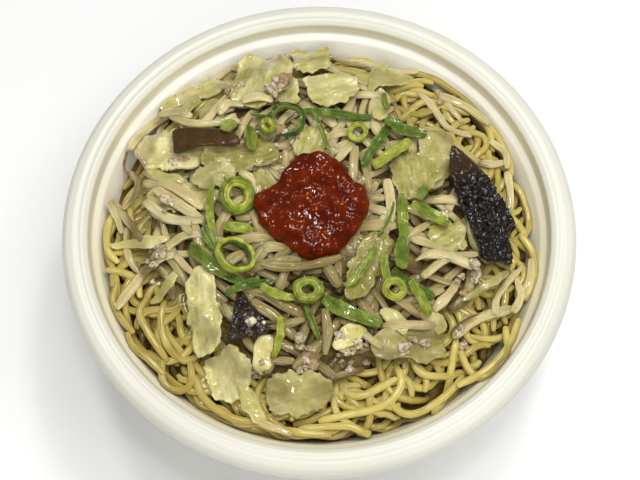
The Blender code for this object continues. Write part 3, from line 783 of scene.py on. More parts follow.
noodleRelief = noodleLevel(gridX, gridY) - noodle["bedDepth"] - 0.5
wallFoot, wallTop = bowlSizes["wallFoot"], bowlSizes["shoulder"][1]
wallHeight = wallFoot[1] + (radiusMap - wallFoot[0]) * (wallTop[1] - wallFoot[1]) / (wallTop[0] - wallFoot[0])
noodleRelief = np.maximum(noodleRelief, wallHeight)
covered = np.maximum(moundTop, cabbageTop) > 0
bare = (bearingMap >= noodle["bare"][0]) | (bearingMap + 360 <= noodle["bare"][1])
wide, close = noodle["room"]
noodleRoom = (radiusMap < wide) & (bare | (radiusMap < close)) & ~(narrowed(covered.astype(float), 14) > 0)
noodleCeiling = narrowed(np.minimum(moundUnder, toppingUnder), 3)


def wallPath(draw):  # a strand that follows the bowl's wall and turns inwards at its ends
    length = draw.uniform(*noodle["wallLength"])
    t = np.linspace(-1, 1, int(length / noodle["step"]))
    reach = noodle["reach"][1] - draw.uniform(0, 2.5) - draw.uniform(3, 12) * t ** 4
    reach -= draw.uniform(0, 1.2) * (1 + np.sin(t * length / draw.uniform(4, 9)))
    bearing = math.radians(draw.uniform(noodle["bare"][0] + 12, noodle["bare"][1] - 12)) + t * length / 160
    return np.column_stack([reach * np.cos(bearing), reach * np.sin(bearing)])


def throughPoints(points, step):  # smooth curve through a few points, at even steps
    points = np.array(points, dtype=float)
    points = np.concatenate([[2 * points[0] - points[1]], points, [2 * points[-1] - points[-2]]])
    curve = []
    for a, b, c, d in zip(points, points[1:], points[2:], points[3:]):
        for t in np.linspace(0, 1, max(2, int(np.linalg.norm(c - b) / step)), endpoint=False):
            point = 2 * b + (c - a) * t + (2 * a - 5 * b + 4 * c - d) * t ** 2
            curve.append(0.5 * (point + (3 * b - a - 3 * c + d) * t ** 3))
    return np.array(curve + [points[-2]])


def layNoodle(strands, path, radius, tone):
    tone += shadeAt(path, noodle["shades"]).mean()
    lid = noodleLevel(*path.T) + noodle["lid"]
    path = laid(path, radius, noodleRelief, noodle["sink"], lid, noodleCeiling)
    radii = roundedEnds(radius * np.ones(len(path)))
    strands.add(path, radii, noodle["sides"], tone, noodle["square"], noodle["flat"])
    stampStrand(path, radius, noodleRelief)


def heapedOver(cell):  # how far the heap stands over its mean top at a cell
    return noodleRelief[cell[0], cell[1]] - noodleLevel(gridLine[cell[0]], gridLine[cell[1]])


def makeNoodles():
    draw = random.Random(8)
    strands = Strands()
    spots = np.argwhere(noodleRoom)
    for number in range(noodle["count"]):
        radius = noodle["radius"] * draw.uniform(1 - noodle["uneven"], 1 + noodle["uneven"])
        if number % noodle["alongWall"] == 0:
            layNoodle(strands, wallPath(draw), radius, draw.random())
        tries = [spots[draw.randrange(len(spots))] for _ in range(noodle["tries"])]
        i, j = min(tries, key=heapedOver)
        start = np.array([gridLine[i], gridLine[j]])
        paths = [curlyPath(start, draw) for _ in range(noodle["paths"])]
        over = [(restingHeights(p, radius, noodleRelief) - noodleLevel(*p.T)).mean() for p in paths]
        best = min(range(len(paths)), key=lambda k: over[k])
        if over[best] < noodle["lid"]:
            layNoodle(strands, paths[best], radius, noodle["tone"] * draw.random())
    for points in noodlesByHand:
        path, radius = throughPoints(points, noodle["step"]), noodle["radius"] * noodle["handRadius"]
        layNoodle(strands, path, radius, draw.uniform(*noodle["handTone"]))
    mesh = strands.mesh("noodleHeap", *noodle["lump"])
    # painted shade between the strands, also where noodles lie by the sprout heap's edge
    paintGapShade(mesh, np.maximum(noodleRelief, np.where(moundTop > 0, moundTop - 2, -nothing)), *noodle["gap"])
    return finish("noodleHeap", mesh, noodleDough(), ["noodles"])


makeNoodleBed()
makeNoodles()
print("noodles laid")


# bean sprouts

sprout = {
    "radius": (1.2, 2.4), "length": (20, 48), "step": 1.5, "sides": 9, "square": 2.2, "flat": 0.72,
    "bow": 0.16, "tail": 0.1,  # sideways bend for its length, and the share that has a thin tail
    "under": 210, "over": 60, "tries": 14,  # how many lie under and over the leaves
    "bedDepth": 3.2, "bedThickness": 6, "lid": 3.2, "sink": 0.6,  # heights under and over the mound's level
    "standing": 2.5,  # a sprout that would stand further over the lid is left out
    "tones": {"under": (0.1, 0.6), "over": (0.3, 0.9), "byHand": (0.4, 0.9)},
    "handRadius": 0.9, "handSides": 12, "handSink": 0.9, "lump": (0.25, 3.5),
    "reach": 80, "bareReach": 63,  # how far from the bowl's middle a sprout may come, also where noodles show
    "shades": (  # place, reach and change
        (-45, 45, 26, 0.9), (20, 62, 22, 0.5), (62, 10, 16, 0.8), (2, -24, 16, -0.8), (-8, -50, 14, -0.4),
    ),
}
sproutsByHand = (  # radius and the points that each sprout on top passes over
    (1.9, (-78, 12), (-70, 0), (-63, -10)), (1.9, (-71, -2), (-70, -12), (-65, -20)),
    (2.1, (-73, -32), (-67, -24), (-59, -16), (-46, -13)), (2.0, (-61, -16), (-50, -8), (-41, -8)),
    (2.5, (-26, -18), (-19, -14), (-11, -13)), (2.0, (-25, -21), (-14, -19), (-7, -19)),
    (2.2, (-61, 3), (-54, -1), (-43, -2)),
    (1.7, (-79, 10), (-76, 5), (-73, -3)),
    (1.6, (-28, -62), (-21, -74), (-10, -79)),
    (1.7, (-58, -18), (-54, -24), (-52, -31)),
    (1.6, (-44, 61), (-38, 59), (-31, 55)), (2.0, (-57, 45), (-48, 40), (-39, 40), (-32, 43)),
    (2.2, (-29, 48), (-24, 49), (-18, 47)), (1.5, (-71, 23), (-68, 17), (-69, 11), (-73, 7)),
    (2.4, (-65, 16), (-54, 12), (-43, 3)), (2.6, (-60, 11), (-51, 4), (-42, -2)),
    (2.0, (-58, 54), (-54, 58), (-46, 60)), (1.8, (-60, 51), (-53, 51), (-47, 54)),
    (2.2, (-61, 47), (-55, 46), (-49, 44)), (1.7, (-68, 28), (-63, 20), (-56, 15)),
    (2.2, (-38, 44), (-35, 48), (-29, 47)), (2.4, (-64, 7), (-56, 0), (-47, -3)),
    (2.0, (-29, 17), (-24, 14), (-22, 8)), (1.7, (39, 57), (45, 49), (50, 41), (58, 38)),
    (1.5, (46, 59), (50, 51), (55, 44)), (2.1, (61, 26), (66, 26), (70, 27)),
    (2.4, (25, 13), (26, 2), (24, -8)), (1.9, (33, -9), (40, -12), (46, -15)),
    (1.8, (71, 22), (72, 13), (71, 6)), (1.7, (66, 37), (71, 32), (71, 24)),
    (2.0, (47, 55), (57, 50), (65, 43)),
    (2.0, (37, -24), (46, -17), (57, -14)), (2.6, (48, -43), (56, -37), (70, -32)),
    (1.7, (63, -35), (65, -27), (74, -16)), (1.9, (74, -28), (77, -21), (78, -13)),
    (2.2, (41, -35), (46, -30), (50, -24)), (2.0, (8, -40), (14, -44), (22, -50)),
    (2.4, (23, -42), (31, -42), (39, -43)),
    (2.2, (2, -37), (3, -45), (2, -52)),
    (1.8, (70, -34), (73, -28), (72, -21)),
    (1.7, (59, -9), (65, -14), (70, -17)),
    (2.0, (1, -12), (6, -18), (7, -25)),
)
shred = {
    "extra": 6, "length": (10, 22), "halfWidth": (1.3, 2.4), "sides": 14, "square": 2.6, "flat": 0.2,
    "sink": 0.3, "lump": (0.8, 4.0),
}
shredsByHand = (  # half width and the points that each scrap of leaf passes over
    (3.4, (-61, 51), (-51, 56), (-38, 60)), (2.8, (-45, 45), (-42, 50), (-39, 52)),
    (3.0, (-26, 13), (-22, 14), (-17, 10)), (2.6, (-39, 22), (-35, 20), (-32, 14)),
    (3.0, (14, 60), (24, 60), (36, 64)), (3.2, (24, 56), (24, 48), (22, 41)),
    (3.0, (32, 25), (36, 18), (37, 10)), (3.4, (6, -50), (11, -46), (16, -44)),
    (3.4, (-17, -46), (-20, -50), (-20, -58)), (3.4, (-25, -7), (-19, -6), (-13, -8)),
    (2.8, (-27, -62), (-24, -69), (-20, -75)), (2.6, (22, -37), (27, -39), (30, -45)),
    (3.2, (36, -34), (41, -39), (43, -44)), (2.6, (-65, 21), (-57, 16), (-49, 14)),
)
rootTails = (  # radius and points of the thin brown ends that stick out at the rim of the heap
    (0.6, (-74, 33), (-75, 28), (-73, 24), (-70, 21)), (0.7, (-55, 57), (-59, 55), (-62, 51), (-60, 47)),
    (0.9, (51, 56), (53, 57), (55, 56), (54, 54)), (0.7, (-23, 75), (-18, 77), (-12, 77)),
    (0.8, (-28, -44), (-21, -41), (-14, -41)),
)
moundMask = moundTop > 0
moundLevel = np.where(moundMask, blurred(narrowed(np.where(moundMask, moundTop, 200.0), 4), 6), -nothing)


def makeSproutBed():
    bm = bmesh.new()
    skip = 4  # cells between the bed's corners
    index = {}
    inside = narrowed(moundMask.astype(float), 6) > 0
    level = np.where(moundMask, moundLevel, 60.0) - sprout["bedDepth"]
    for i in range(0, gridSide, skip):
        for j in range(0, gridSide, skip):
            if inside[i, j]:
                index[i, j] = bm.verts.new((gridLine[i] * mm, gridLine[j] * mm, level[i, j] * mm))
    for i, j in index:
        square = [(i, j), (i + skip, j), (i + skip, j + skip), (i, j + skip)]
        if all(s in index for s in square):
            bm.faces.new([index[s] for s in square])
    bmesh.ops.delete(bm, geom=[v for v in bm.verts if not v.link_faces], context="VERTS")
    skirt = bmesh.ops.extrude_face_region(bm, geom=list(bm.faces))
    lowered = [part for part in skirt["geom"] if isinstance(part, bmesh.types.BMVert)]
    bmesh.ops.translate(bm, vec=(0, 0, -sprout["bedThickness"] * mm), verts=lowered)
    bmesh.ops.recalc_face_normals(bm, faces=bm.faces)
    mesh = bpy.data.meshes.new("sproutBed")
    bm.to_mesh(mesh)
    bm.free()
    bed = shadedBed("sprout shade", *sproutColours["bed"])
    return finish("sproutBed", mesh, bed)


def bentPath(start, end, bow, draw):
    start, end = np.array(start, dtype=float), np.array(end, dtype=float)
    length = np.linalg.norm(end - start)
    u = np.linspace(-1, 1, max(8, int(length / sprout["step"])))
    along = (end - start) / length
    across = np.array([-along[1], along[0]])
    sway = bow * (1 - u * u) + draw.uniform(-0.035, 0.035) * length * np.sin(3 * u)
    return (start + end) / 2 + u[:, None] * along * length / 2 + sway[:, None] * across


def sproutPath(start, draw):
    length, heading = draw.uniform(*sprout["length"]), draw.uniform(0, math.pi)
    half = np.array([math.cos(heading), math.sin(heading)]) * length / 2
    return bentPath(start - half, start + half, draw.uniform(-sprout["bow"], sprout["bow"]) * length, draw)


def sproutRadii(count, radius, draw):
    t = np.linspace(0, 1, count)
    radii = radius * (1 - 0.25 * t) * (1 + 0.06 * np.sin(9 * t + draw.uniform(0, 6)))
    if draw.random() < sprout["tail"]:
        radii *= np.where(t > 0.75, 1 - 0.6 * (t - 0.75) / 0.25, 1)
    return roundedEnds(radii)


sproutRelief = np.maximum(noodleRelief, np.where(moundMask, moundLevel - sprout["bedDepth"], -nothing))
toppingCeiling, smallCeiling = narrowed(toppingUnder, 2), narrowed(smallUnder, 2)
smallMask = widened((smallTop > 0).astype(float), 3) > 0
leafMask = cabbageTop > 0
sproutLid = np.maximum(np.where(moundMask, moundLevel, 62.0), cabbageTop) + sprout["lid"]


def sproutFits(path, over):  # clear of the wall and the bare noodles and, on top, of the small toppings
    cells, reach = cellsOf(path), np.hypot(*path.T)
    if reach.max() > sprout["reach"] or (bare[cells] & (reach > sprout["bareReach"])).any():
        return False
    return not over or not (smallMask[cells].any() or leafMask[cells].mean() > 0.2)


def addSprout(strands, path, radii, sides, tone):
    tone += shadeAt(path, sprout["shades"]).mean()
    strands.add(path, radii, sides, tone, sprout["square"], sprout["flat"])


def makeSprouts():
    draw = random.Random(5)
    strands = Strands()
    byWall = ~bare & (radiusMap < 77) & (radiusMap > 60)
    room = np.argwhere((narrowed(moundMask.astype(float), 4) > 0) & (radiusMap < 76) | byWall)
    for number in range(sprout["under"] + sprout["over"]):
        over = number >= sprout["under"]
        if number == sprout["under"]:
            sproutRelief[:] = np.maximum(sproutRelief, cabbageTop)
        radius = draw.uniform(*sprout["radius"])
        best = None
        for _ in range(sprout["tries"]):
            i, j = room[draw.randrange(len(room))]
            path = sproutPath(np.array([gridLine[i], gridLine[j]]), draw)
            if not sproutFits(path, over):
                continue
            cells, rest = cellsOf(path), restingHeights(path, radius, sproutRelief)
            level = np.where(moundMask[cells], moundLevel[cells], 61.5)
            score = rest.max() - rest.min() if over else (rest - level).mean()
            if best is None or score < best[0]:
                best = (score, path)
        if best is None:
            continue
        ceiling = smallCeiling if over else toppingCeiling
        path = laid(best[1], radius, sproutRelief, sprout["sink"], None, ceiling)
        tone = draw.uniform(*sprout["tones"]["over" if over else "under"])
        radii = sproutRadii(len(path), radius, draw)
        if (path[:, 2] - sproutLid[cellsOf(path)]).max() <= sprout["standing"]:
            addSprout(strands, path, radii, sprout["sides"], tone)
            stampStrand(path, radius * 0.85, sproutRelief)
    for radius, *points in sproutsByHand:
        radius *= sprout["handRadius"]
        path = throughPoints(points, sprout["step"])
        path = laid(path, radius, sproutRelief, sprout["handSink"], sproutLid[cellsOf(path)], smallCeiling)
        radii = sproutRadii(len(path), radius, draw)
        addSprout(strands, path, radii, sprout["handSides"], draw.uniform(*sprout["tones"]["byHand"]))
        stampStrand(path, radius * 0.85, sproutRelief)
    mesh = strands.mesh("beanSprouts", *sprout["lump"])
    shade = shadeAt(meshPoints(mesh), sprout["shades"])
    # painted shade between the sprouts, weaker where the sprouts are paler
    paintGapShade(mesh, sproutRelief, share=1 - 0.7 * np.clip(shade, 0, 1))
    # darker and browner where the change around a place is negative
    paint(mesh, "darkened", np.clip(-shade, 0, 1))
    return finish("beanSprouts", mesh, sproutFlesh(), ["bean_sprouts"])


def makeShreds():  # narrow scraps of leaf among the sprouts
    draw = random.Random(21)
    strands = Strands()
    room = np.argwhere(moundMask & ~leafMask & (radiusMap < 72))
    scraps = [(radius, throughPoints(points, 1.2)) for radius, *points in shredsByHand]
    while len(scraps) < len(shredsByHand) + shred["extra"]:
        i, j = room[draw.randrange(len(room))]
        heading, length = draw.uniform(0, math.pi), draw.uniform(*shred["length"])
        half = np.array([math.cos(heading), math.sin(heading)]) * length / 2
        start = np.array([gridLine[i], gridLine[j]])
        path = bentPath(start - half, start + half, draw.uniform(-3, 3), draw)
        if not smallMask[cellsOf(path)].any() and leafMask[cellsOf(path)].mean() < 0.2:
            scraps.append((draw.uniform(*shred["halfWidth"]), path))
    for radius, path in scraps:
        path = laid(path, 1.2, sproutRelief, shred["sink"], sproutLid[cellsOf(path)], smallCeiling)
        t = np.linspace(-1, 1, len(path))
        width = radius * (1 - 0.35 * t ** 4) * (1 + 0.12 * np.sin(5 * t + draw.uniform(0, 6)))
        strands.add(path, roundedEnds(width), shred["sides"], draw.random(), shred["square"], shred["flat"])
        stampStrand(path, 0.6, sproutRelief)
    side = np.array(strands.values["side"])
    strands.values["side"], strands.values["run"] = side * 3, np.array(strands.values["run"]) * 15
    mesh = strands.mesh("cabbageShreds", *shred["lump"])
    # a painted highlight along the flanks of each scrap
    paint(mesh, "veinsAndEdgeSheen", side ** 4)
    paint(mesh, "darkened", 0.6 * np.array(strands.values["tone"]))
    shade = shadeAt(meshPoints(mesh), sprout["shades"])
    # painted shade between the scraps, weaker where the food is paler
    paintGapShade(mesh, sproutRelief, share=1 - 0.6 * np.clip(shade, 0, 1))
    return finish("cabbageShreds", mesh, cabbageLeaf(), ["bean_sprouts"])


def makeRootTails():
    draw = random.Random(2)
    strands = Strands()
    for radius, *points in rootTails:
        path = laid(throughPoints(points, 1.0), radius, sproutRelief, 0.3)
        strands.add(path, roundedEnds(radius * np.linspace(1, 0.5, len(path))), 8, draw.random())
    return finish("rootTails", strands.mesh("rootTails"), rootSkin(), ["bean_sprouts"])


makeSproutBed()
makeSprouts()
makeShreds()
makeRootTails()
print("bean sprouts laid")


# cabbage

cabbageTones = {  # 0 is a white rib, 1 a yellow-green leaf; then how much darker and browner it is
    "cabbage_01": (0.2, 0.75), "cabbage_02": (0.15, 0.35), "cabbage_03": (0.4, 1.0), "cabbage_04": (0.2, 0.3),
    "cabbage_05": (-0.2, 0.0), "cabbage_06": (0.5, 0.3), "cabbage_07": (0.4, 0.3), "cabbage_08": (0.4, 0.7),
    "cabbage_09": (0.9, 0.5), "cabbage_10": (1.0, 1.3), "cabbage_11": (0.3, 0.1), "cabbage_12": (0.55, 0.25),
    "cabbage_13": (0.4, 0.3), "cabbage_14": (0.9, 1.3), "cabbage_15": (0.6, 0.4), "cabbage_16": (0.9, 0.6),
    "cabbage_17": (0.9, 0.6), "cabbage_18": (0.1, 0.4),
}
leafWork = {  # depths in millimetres, then the sizes over which they change
    "lobe": (2.0, 5.0), "frill": (0.7, 1.4), "fold": (1.5, 7.0), "wrinkle": (0.3, 2.2), "curl": (2.2, 7.0),
    # gapStart: depth at which the painted shade on a leaf begins
    "rib": 0.4, "ribSize": (20.0, 3.0), "levels": 3, "tapered": {"cabbage_11": 0.3}, "gapStart": 2.6,
}


def makeLeaf(name, tone, darkened, material, seed):
    mesh = weldedMesh(name, name, leafWork["levels"])
    points = meshPoints(mesh)
    flat, along, across, longAxis, shortAxis = laidOut(points)
    along = along * (1 if longAxis[1] > 0 else -1)  # from the near end to the far one
    length, width = np.abs(along).max(), np.abs(across).max()
    slim = leafWork["tapered"].get(name, 0) * np.clip(0.4 - 0.6 * along / length, 0, 1)
    points[:, :2] -= shortAxis * (across * slim)[:, None]
    edge = np.clip(np.hypot(along / length, across / width), 0, 1) ** 3
    bearing = np.arctan2(across, along)
    circle = np.stack([np.cos(bearing) * 9, np.sin(bearing) * 9, 0 * bearing], axis=1)
    push = bumpy(circle, leafWork["lobe"], seed, 2) + bumpy(circle, leafWork["frill"], seed)
    points[:, :2] += pushedOut(flat, push * edge)
    run, gap = leafWork["ribSize"]
    streaks = roughness(np.stack([along / run, across / gap, 0 * along], axis=1) * 4, 4.0, seed + 60)
    level = points * (1, 1, 0)
    points[:, 2] += bumpy(level, leafWork["fold"], seed + 50, 2) + leafWork["rib"] * streaks
    points[:, 2] += bumpy(level, leafWork["wrinkle"], seed + 20)
    curl, curlSize = leafWork["curl"]
    points[:, 2] += curl * edge * np.clip(roughness(circle, curlSize, seed + 30) + 0.3, 0, 1)
    movePoints(mesh, points)
    # pale rib streaks, and a painted highlight towards the leaf's edge
    paint(mesh, "veinsAndEdgeSheen", np.clip(1.8 * streaks + 0.6 * edge, 0, 1))
    # painted shade where the leaf lies below what is near it
    paintGapShade(mesh, overLeaves, leafWork["gapStart"])
    paint(mesh, "side", across)
    paint(mesh, "run", along)
    paint(mesh, "darkened", np.clip(darkened + 0.25 * roughness(points, 7, seed + 40), 0, 1))
    paint(mesh, "tone", np.clip(tone + 0.3 * roughness(points, 8, seed + 9), 0, 1))
    return finish("leaf_" + name, mesh, material, [name])


overLeaves = np.maximum(np.maximum(sproutRelief, cabbageTop), smallTop)
leafMaterial = cabbageLeaf()
for seed, (name, (tone, darkened)) in enumerate(cabbageTones.items()):
    makeLeaf(name, tone, darkened, leafMaterial, seed)
print("cabbage draped")


# wood ear

woodEarWork = {  # ridges, their size and the ragged edge in millimetres; one piece is smooth at its far end
    "wood_ear_1": {
        "skin": "dull", "tone": 0.9, "wrinkle": 0.1, "size": 4.0, "ragged": 0.2, "smooth": 0, "levels": 3,
    },
    "wood_ear_2": {
        "skin": "wet", "tone": 0.0, "wrinkle": 1.0, "size": 3.4, "ragged": 0.4, "smooth": 1, "levels": 4,
    },
    "wood_ear_3": {
        "skin": "wet", "tone": 0.2, "wrinkle": 0.5, "size": 2.0, "ragged": 0.5, "smooth": 0, "levels": 3,
    },
}


def makeWoodEar(name, work, material, seed):
    mesh = weldedMesh(name, name, work["levels"])
    points, normals = meshPoints(mesh), meshNormals(mesh)
    flat, along, across, longAxis, _ = laidOut(points)
    length, width = np.abs(along).max(), np.abs(across).max()
    out = np.clip(np.hypot(along / length, across / width), 0, 1)
    ridges = 1 - 2 * np.abs(roughness(points, work["size"], seed, 2)) * 1.6
    smooth = work["smooth"] * np.clip((along * np.sign(longAxis[1]) / length - 0.35) * 3, 0, 1)
    lift = work["wrinkle"] * ridges * (1 - 0.8 * smooth) * (0.2 + 0.8 * np.abs(normals[:, 2]))
    points[:, :2] += pushedOut(flat, work["ragged"] * out ** 4 * roughness(points, 3.5, seed + 5))
    movePoints(mesh, points + normals * lift[:, None])
    paint(mesh, "tone", np.clip(work["tone"] + 0.45 * smooth + 0.15 * roughness(points, 6, seed), 0, 1))
    return finish("mushroom_" + name, mesh, material, [name])


woodEarSkins = {
    "wet": woodEarSkin("wet wood ear", woodEarColours["wet"], 0.4, 1.0, 1.6, 0.07),
    "dull": woodEarSkin("dull wood ear", woodEarColours["dull"], 0.5, 0.35, 1.45, 0.04),
}
for seed, (name, work) in enumerate(woodEarWork.items()):
    makeWoodEar(name, work, woodEarSkins[work["skin"]], seed)
print("wood ear made")


# scallion

stripTones = {  # 0 dark green, 1 lime
    1: 0.4, 2: 0.35, 5: 0.3, 8: 0.95, 9: 0.6, 10: 0.2, 11: 0.3, 12: 0.0, 13: 0.75, 15: 0.85, 16: 0.25,
    17: 0.45, 18: 0.3, 19: 0.5, 21: 0.4, 22: 0.5, 23: 0.3, 24: 0.4, 25: 0.3, 26: 0.25, 27: 0.6,
}
ringTones = {  # from the outer layer to the hole; 0 is dark green, 1 pale lime
    1: (0.35, 0.75, 1.0), 2: (1.0, 0.95, 0.1), 3: (0.4, 0.7, 0.6), 4: (0.8, 1.1, 0.9),
    5: (0.0, 0.15, 0.3), 6: (0.5, 0.9, 1.2), 7: (0.7, 1.1, 0.8),
}
scallion = {
    "levels": 2, "otherTone": 0.1, "lump": (0.4, 3.0), "gutter": 0.8, "ends": 0.15, "ragged": (0.5, 2.5),
    "veinGap": 0.9,
    "height": 1.4, "segments": 64, "wobble": (0.035, 0.02), "wave": (0.35, 0.15),  # rings
}


def makeStrip(name, material, seed):
    mesh = weldedMesh(name, name, scallion["levels"])
    points = meshPoints(mesh)
    _, along, across, _, shortAxis = laidOut(points)
    edge = np.abs(across) / np.abs(across).max()
    points[:, 2] += bumpy(points, scallion["lump"], seed) + scallion["gutter"] * edge ** 2
    points[:, :2] -= shortAxis * (across * scallion["ends"] * (along / np.abs(along).max()) ** 6)[:, None]
    push = bumpy(np.stack([along, 0 * along, 0 * along], axis=1), scallion["ragged"], seed + 7)
    points[:, :2] += shortAxis * (push * edge)[:, None]
    movePoints(mesh, points)
    tone = stripTones.get(int(name[-2:]), scallion["otherTone"])
    paint(mesh, "veinsAndEdgeSheen", 0.5 + 0.5 * np.sin(2 * math.pi * across / scallion["veinGap"]))
    paint(mesh, "tone", np.clip(tone + 0.25 * roughness(points, 6, seed + 3) + 0.2 * edge ** 3, 0, 1))
    return finish("green_" + name, mesh, material, [name])


def ringSection(outer, hole, tones):  # upright cut through one side of a ring: each layer ends in a low ridge
    half, layers = scallion["height"], len(tones)
    section, colours = [], []
    for layer, tone in enumerate(tones):
        far = outer - layer * (outer - hole) / layers
        near = outer - (layer + 1) * (outer - hole) / layers
        for share, rise in ((0.0, -0.3), (0.15, -0.04), (0.45, 0.0), (0.8, -0.06), (1.0, -0.26)):
            section.append((far + (near - far) * share, half + rise - 0.1 * layer))
            colours.append(tone)
    section += [(hole, -half * 0.5), (hole + (outer - hole) * 0.3, -half)]
    section += [(outer - 0.2, -half), (outer, -half * 0.4)]
    return section, colours + [tones[-1], tones[-1], tones[0], tones[0]]


def makeRing(name, ringColours, material, seed):
    solid = nodePoints(name)
    middle = (solid.max(0) + solid.min(0)) / 2
    axes = np.linalg.eigh(np.cov((solid - middle).T))[1]
    up = axes[:, 0] * np.sign(axes[2, 0])
    side = np.cross(up, (0, 1, 0))
    side /= np.linalg.norm(side)
    front = np.cross(up, side)
    away = np.linalg.norm(np.cross(solid - middle, up), axis=1)
    section, colours = ringSection(away.max(), away.min(), ringColours)
    angles = np.linspace(0, 2 * math.pi, scallion["segments"], endpoint=False)
    corners, faces, tones = [], [], []
    for number, bearing in enumerate(angles):
        slow, quick = scallion["wobble"]
        wobble = 1 + slow * math.sin(2 * bearing + seed) + quick * math.sin(5 * bearing + 2 * seed)
        slow, quick = scallion["wave"]
        lift = slow * math.sin(3 * bearing + seed) + quick * math.sin(8 * bearing)
        spoke = side * math.cos(bearing) + front * math.sin(bearing)
        for k, (r, z) in enumerate(section):
            corners.append(middle + spoke * r * wobble + up * (z + lift * 0.6))
            tones.append(colours[k])
            ahead, turn = (k + 1) % len(section), (number + 1) % len(angles)
            faces.append((number * len(section) + k, number * len(section) + ahead,
                          turn * len(section) + ahead, turn * len(section) + k))
    mesh = bpy.data.meshes.new(name)
    mesh.from_pydata((np.array(corners) * mm).tolist(), [], faces)
    outward(mesh)
    paint(mesh, "tone", tones)
    paint(mesh, "veinsAndEdgeSheen", np.zeros(len(tones)))
    return finish("green_" + name, mesh, material, [name])


leafGreen = scallionLeaf()
for seed, name in enumerate(stripNames):
    makeStrip(name, leafGreen, seed)
for seed, name in enumerate(ringNames):
    makeRing(name, ringTones[int(name[-1])], leafGreen, seed)
print("scallion laid")


# chili paste

chili = {
    "levels": 4, "lump": (1.2, 5.5), "grain": (0.08, 2.4), "rim": 3, "seeds": 26, "seedRadius": 0.7,
    "seedReach": 19, "seedSink": 0.12,
}


def makeChili():
    mesh = weldedMesh("chiliPaste", "chili_paste", chili["levels"])
    points, normals = meshPoints(mesh), meshNormals(mesh)
    rise = bumpy(points, chili["lump"], 3, 2) + bumpy(points, chili["grain"], 4, 2)
    movePoints(mesh, points + normals * rise[:, None])
    paint(mesh, "rim", np.clip(1 - (points[:, 2] - points[:, 2].min()) / chili["rim"], 0, 1))
    return finish("chiliPaste", mesh, chiliGloss(), ["chili_paste"])


def makeChiliSeeds(paste):
    draw = random.Random(9)
    tree = meshTree(paste.data)
    corners, faces = [], []
    ball, ballFaces = roundBall(2)
    x, y, _ = nodePoints("chili_paste").mean(0)
    while len(corners) < chili["seeds"]:
        reach, bearing = chili["seedReach"] * math.sqrt(draw.random()), draw.uniform(0, 2 * math.pi)
        above = Vector((x + reach * math.cos(bearing), y + reach * math.sin(bearing), 150))
        spot, normal, _, _ = tree.ray_cast(above, Vector((0, 0, -1)))
        if spot is None:
            continue
        size = chili["seedRadius"] * draw.uniform(0.6, 1.2)
        seat = normal.to_track_quat("Z", "X").to_matrix()
        turned = ball * (size, size * draw.uniform(0.6, 0.9), size * 0.5)
        faces += [[len(corners) * len(ball) + k for k in face] for face in ballFaces]
        corners.append([seat @ Vector(p) + spot - normal * size * chili["seedSink"] for p in turned])
    mesh = bpy.data.meshes.new("chiliSeeds")
    mesh.from_pydata([p * mm for group in corners for p in group], [], faces)
    return finish("chiliSeeds", mesh, seedSkin(), ["chili_paste"])


makeChiliSeeds(makeChili())
print("chili paste shaped")


# pork crumbs

crumbs = {
    "places": (
        (-33, 53), (-16, 52), (-14, 54), (-57, 3), (57, -23), (34, -46), (30, -51), (9, -52), (7, -49),
        (-6, -46), (-5, -52), (-20, -58), (-62, -18), (51, -46), (-53, 22), (-15, 33), (-11, 30), (52, -24),
        (-60, -10), (46, 50), (-58, -12), (14, -50), (56, -20), (-6, -56),
    ),
    "atEach": (3, 7), "apart": 1.6, "radius": (0.8, 1.5), "largest": 1.5, "lump": (0.5, 0.9),
    "flecks": ((-24, -41, 1.7), (-19.5, -41.5, 0.8)),  # two pale ones on the small wood ear
}


def makeCrumbs():
    draw = random.Random(3)
    top = np.maximum(overLeaves, smallTop)
    corners, faces, tones = [], [], []
    ball, ballFaces = roundBall(3)
    lumps = [(x, y, radius, 1) for x, y, radius in crumbs["flecks"]]
    for x, y in crumbs["places"]:
        for number in range(draw.randrange(*crumbs["atEach"])):
            radius = draw.uniform(*crumbs["radius"]) * (crumbs["largest"] if number == 0 else 1)
            aside, ahead = draw.gauss(0, crumbs["apart"]), draw.gauss(0, crumbs["apart"])
            lumps.append((x + aside, y + ahead, radius, draw.random()))
    for x, y, radius, tone in lumps:
        height = top[cellsOf(np.array([[x, y]]))][0] + radius * 0.3
        shape = 1 + bumpy(ball, crumbs["lump"], draw.random() * 50)
        stretch = np.array([draw.uniform(0.8, 1.3), draw.uniform(0.8, 1.2), 0.75])
        faces += [[len(corners) + k for k in face] for face in ballFaces]
        corners += (ball * (shape[:, None] * radius * stretch) + (x, y, height)).tolist()
        tones += [tone] * len(ball)
    mesh = bpy.data.meshes.new("porkCrumbs")
    mesh.from_pydata((np.array(corners) * mm).tolist(), [], faces)
    paint(mesh, "tone", tones)
    return finish("porkCrumbs", mesh, porkMeat(), ["bean_sprouts"])


makeCrumbs()
print("pork crumbs scattered")


# floor, light and camera

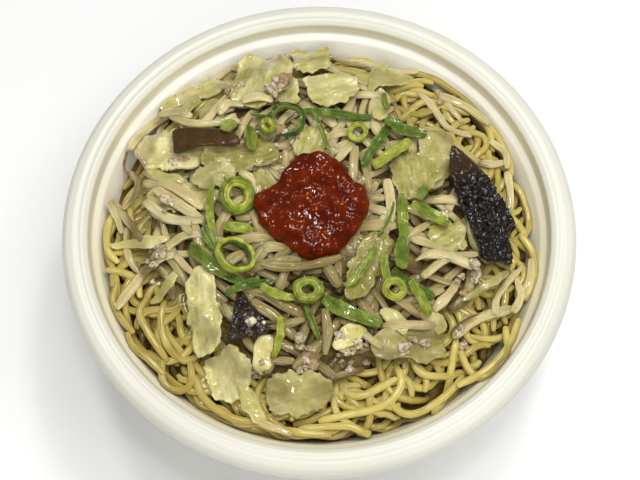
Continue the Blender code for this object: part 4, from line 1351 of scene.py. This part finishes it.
studio = {  # places and sizes in metres, then watts; lamps and glints mirror in wet food, key and fill don't
    "key": ((0.2, 0.04, 0.66), 0.5, 1.95), "fill": ((0.0, -0.5, 0.55), 0.6, 1.85), "world": 0.17,
    "lampSize": 0.1, "lamp": 0.85, "lamps": ((0.14, 0.2, 0.75), (-0.16, 0.22, 0.75), (0.02, -0.12, 0.85)),
    "glintSize": 0.04, "glint": 0.12,
    "glints": ((0.34, 0.02, 0.7), (-0.34, 0.06, 0.7), (0.04, 0.5, 0.6), (0.42, -0.3, 0.55)),
}
view = {
    "elevation": 65.5, "distance": 0.48, "sensor": 36, "focalPixels": 1307.0, "widthPixels": 640,
    "shiftX": 0.0011, "shiftY": -0.0317,
}


def makeFloor():
    bpy.ops.mesh.primitive_plane_add(size=6, location=(0, 0, -0.0003))
    floor = bpy.context.object
    floor.name = "paleFloor"
    floor.data.materials.append(paleFloor())


def softLight(name, place, size, power, mirrored=True):
    lamp = bpy.data.lights.new(name, "AREA")
    lamp.shape = "DISK"
    lamp.size = size
    lamp.energy = power
    holder = bpy.data.objects.new(name, lamp)
    holder.location = place
    holder.rotation_euler = (Vector((0, 0, 0.05)) - holder.location).to_track_quat("-Z", "Y").to_euler()
    holder.visible_glossy = mirrored
    scene.collection.objects.link(holder)


def makeCamera():
    camera = bpy.data.objects.new("camera", bpy.data.cameras.new("camera"))
    tilt = math.radians(view["elevation"])
    ahead = Vector((0, math.cos(tilt), -math.sin(tilt)))
    camera.location = Vector((0, 0, bowlSizes["height"] * mm)) - ahead * view["distance"]
    camera.rotation_euler = ahead.to_track_quat("-Z", "Y").to_euler()
    camera.data.sensor_width = view["sensor"]
    camera.data.lens = view["sensor"] * view["focalPixels"] / view["widthPixels"]
    camera.data.shift_x, camera.data.shift_y = view["shiftX"], view["shiftY"]
    camera.data.clip_start = 0.01
    scene.collection.objects.link(camera)
    scene.camera = camera


makeFloor()
softLight("key", *studio["key"], mirrored=False)
softLight("fill", *studio["fill"], mirrored=False)
for number, place in enumerate(studio["lamps"]):
    softLight(f"lamp{number}", place, studio["lampSize"], studio["lamp"])
for number, place in enumerate(studio["glints"]):
    softLight(f"glint{number}", place, studio["glintSize"], studio["glint"])
world = bpy.data.worlds.new("studio")
world.use_nodes = True
world.node_tree.nodes["Background"].inputs["Color"].default_value = (1, 1, 1, 1)
world.node_tree.nodes["Background"].inputs["Strength"].default_value = studio["world"]
scene.world = world
scene.view_settings.view_transform = "Standard"
makeCamera()
print("studio set")
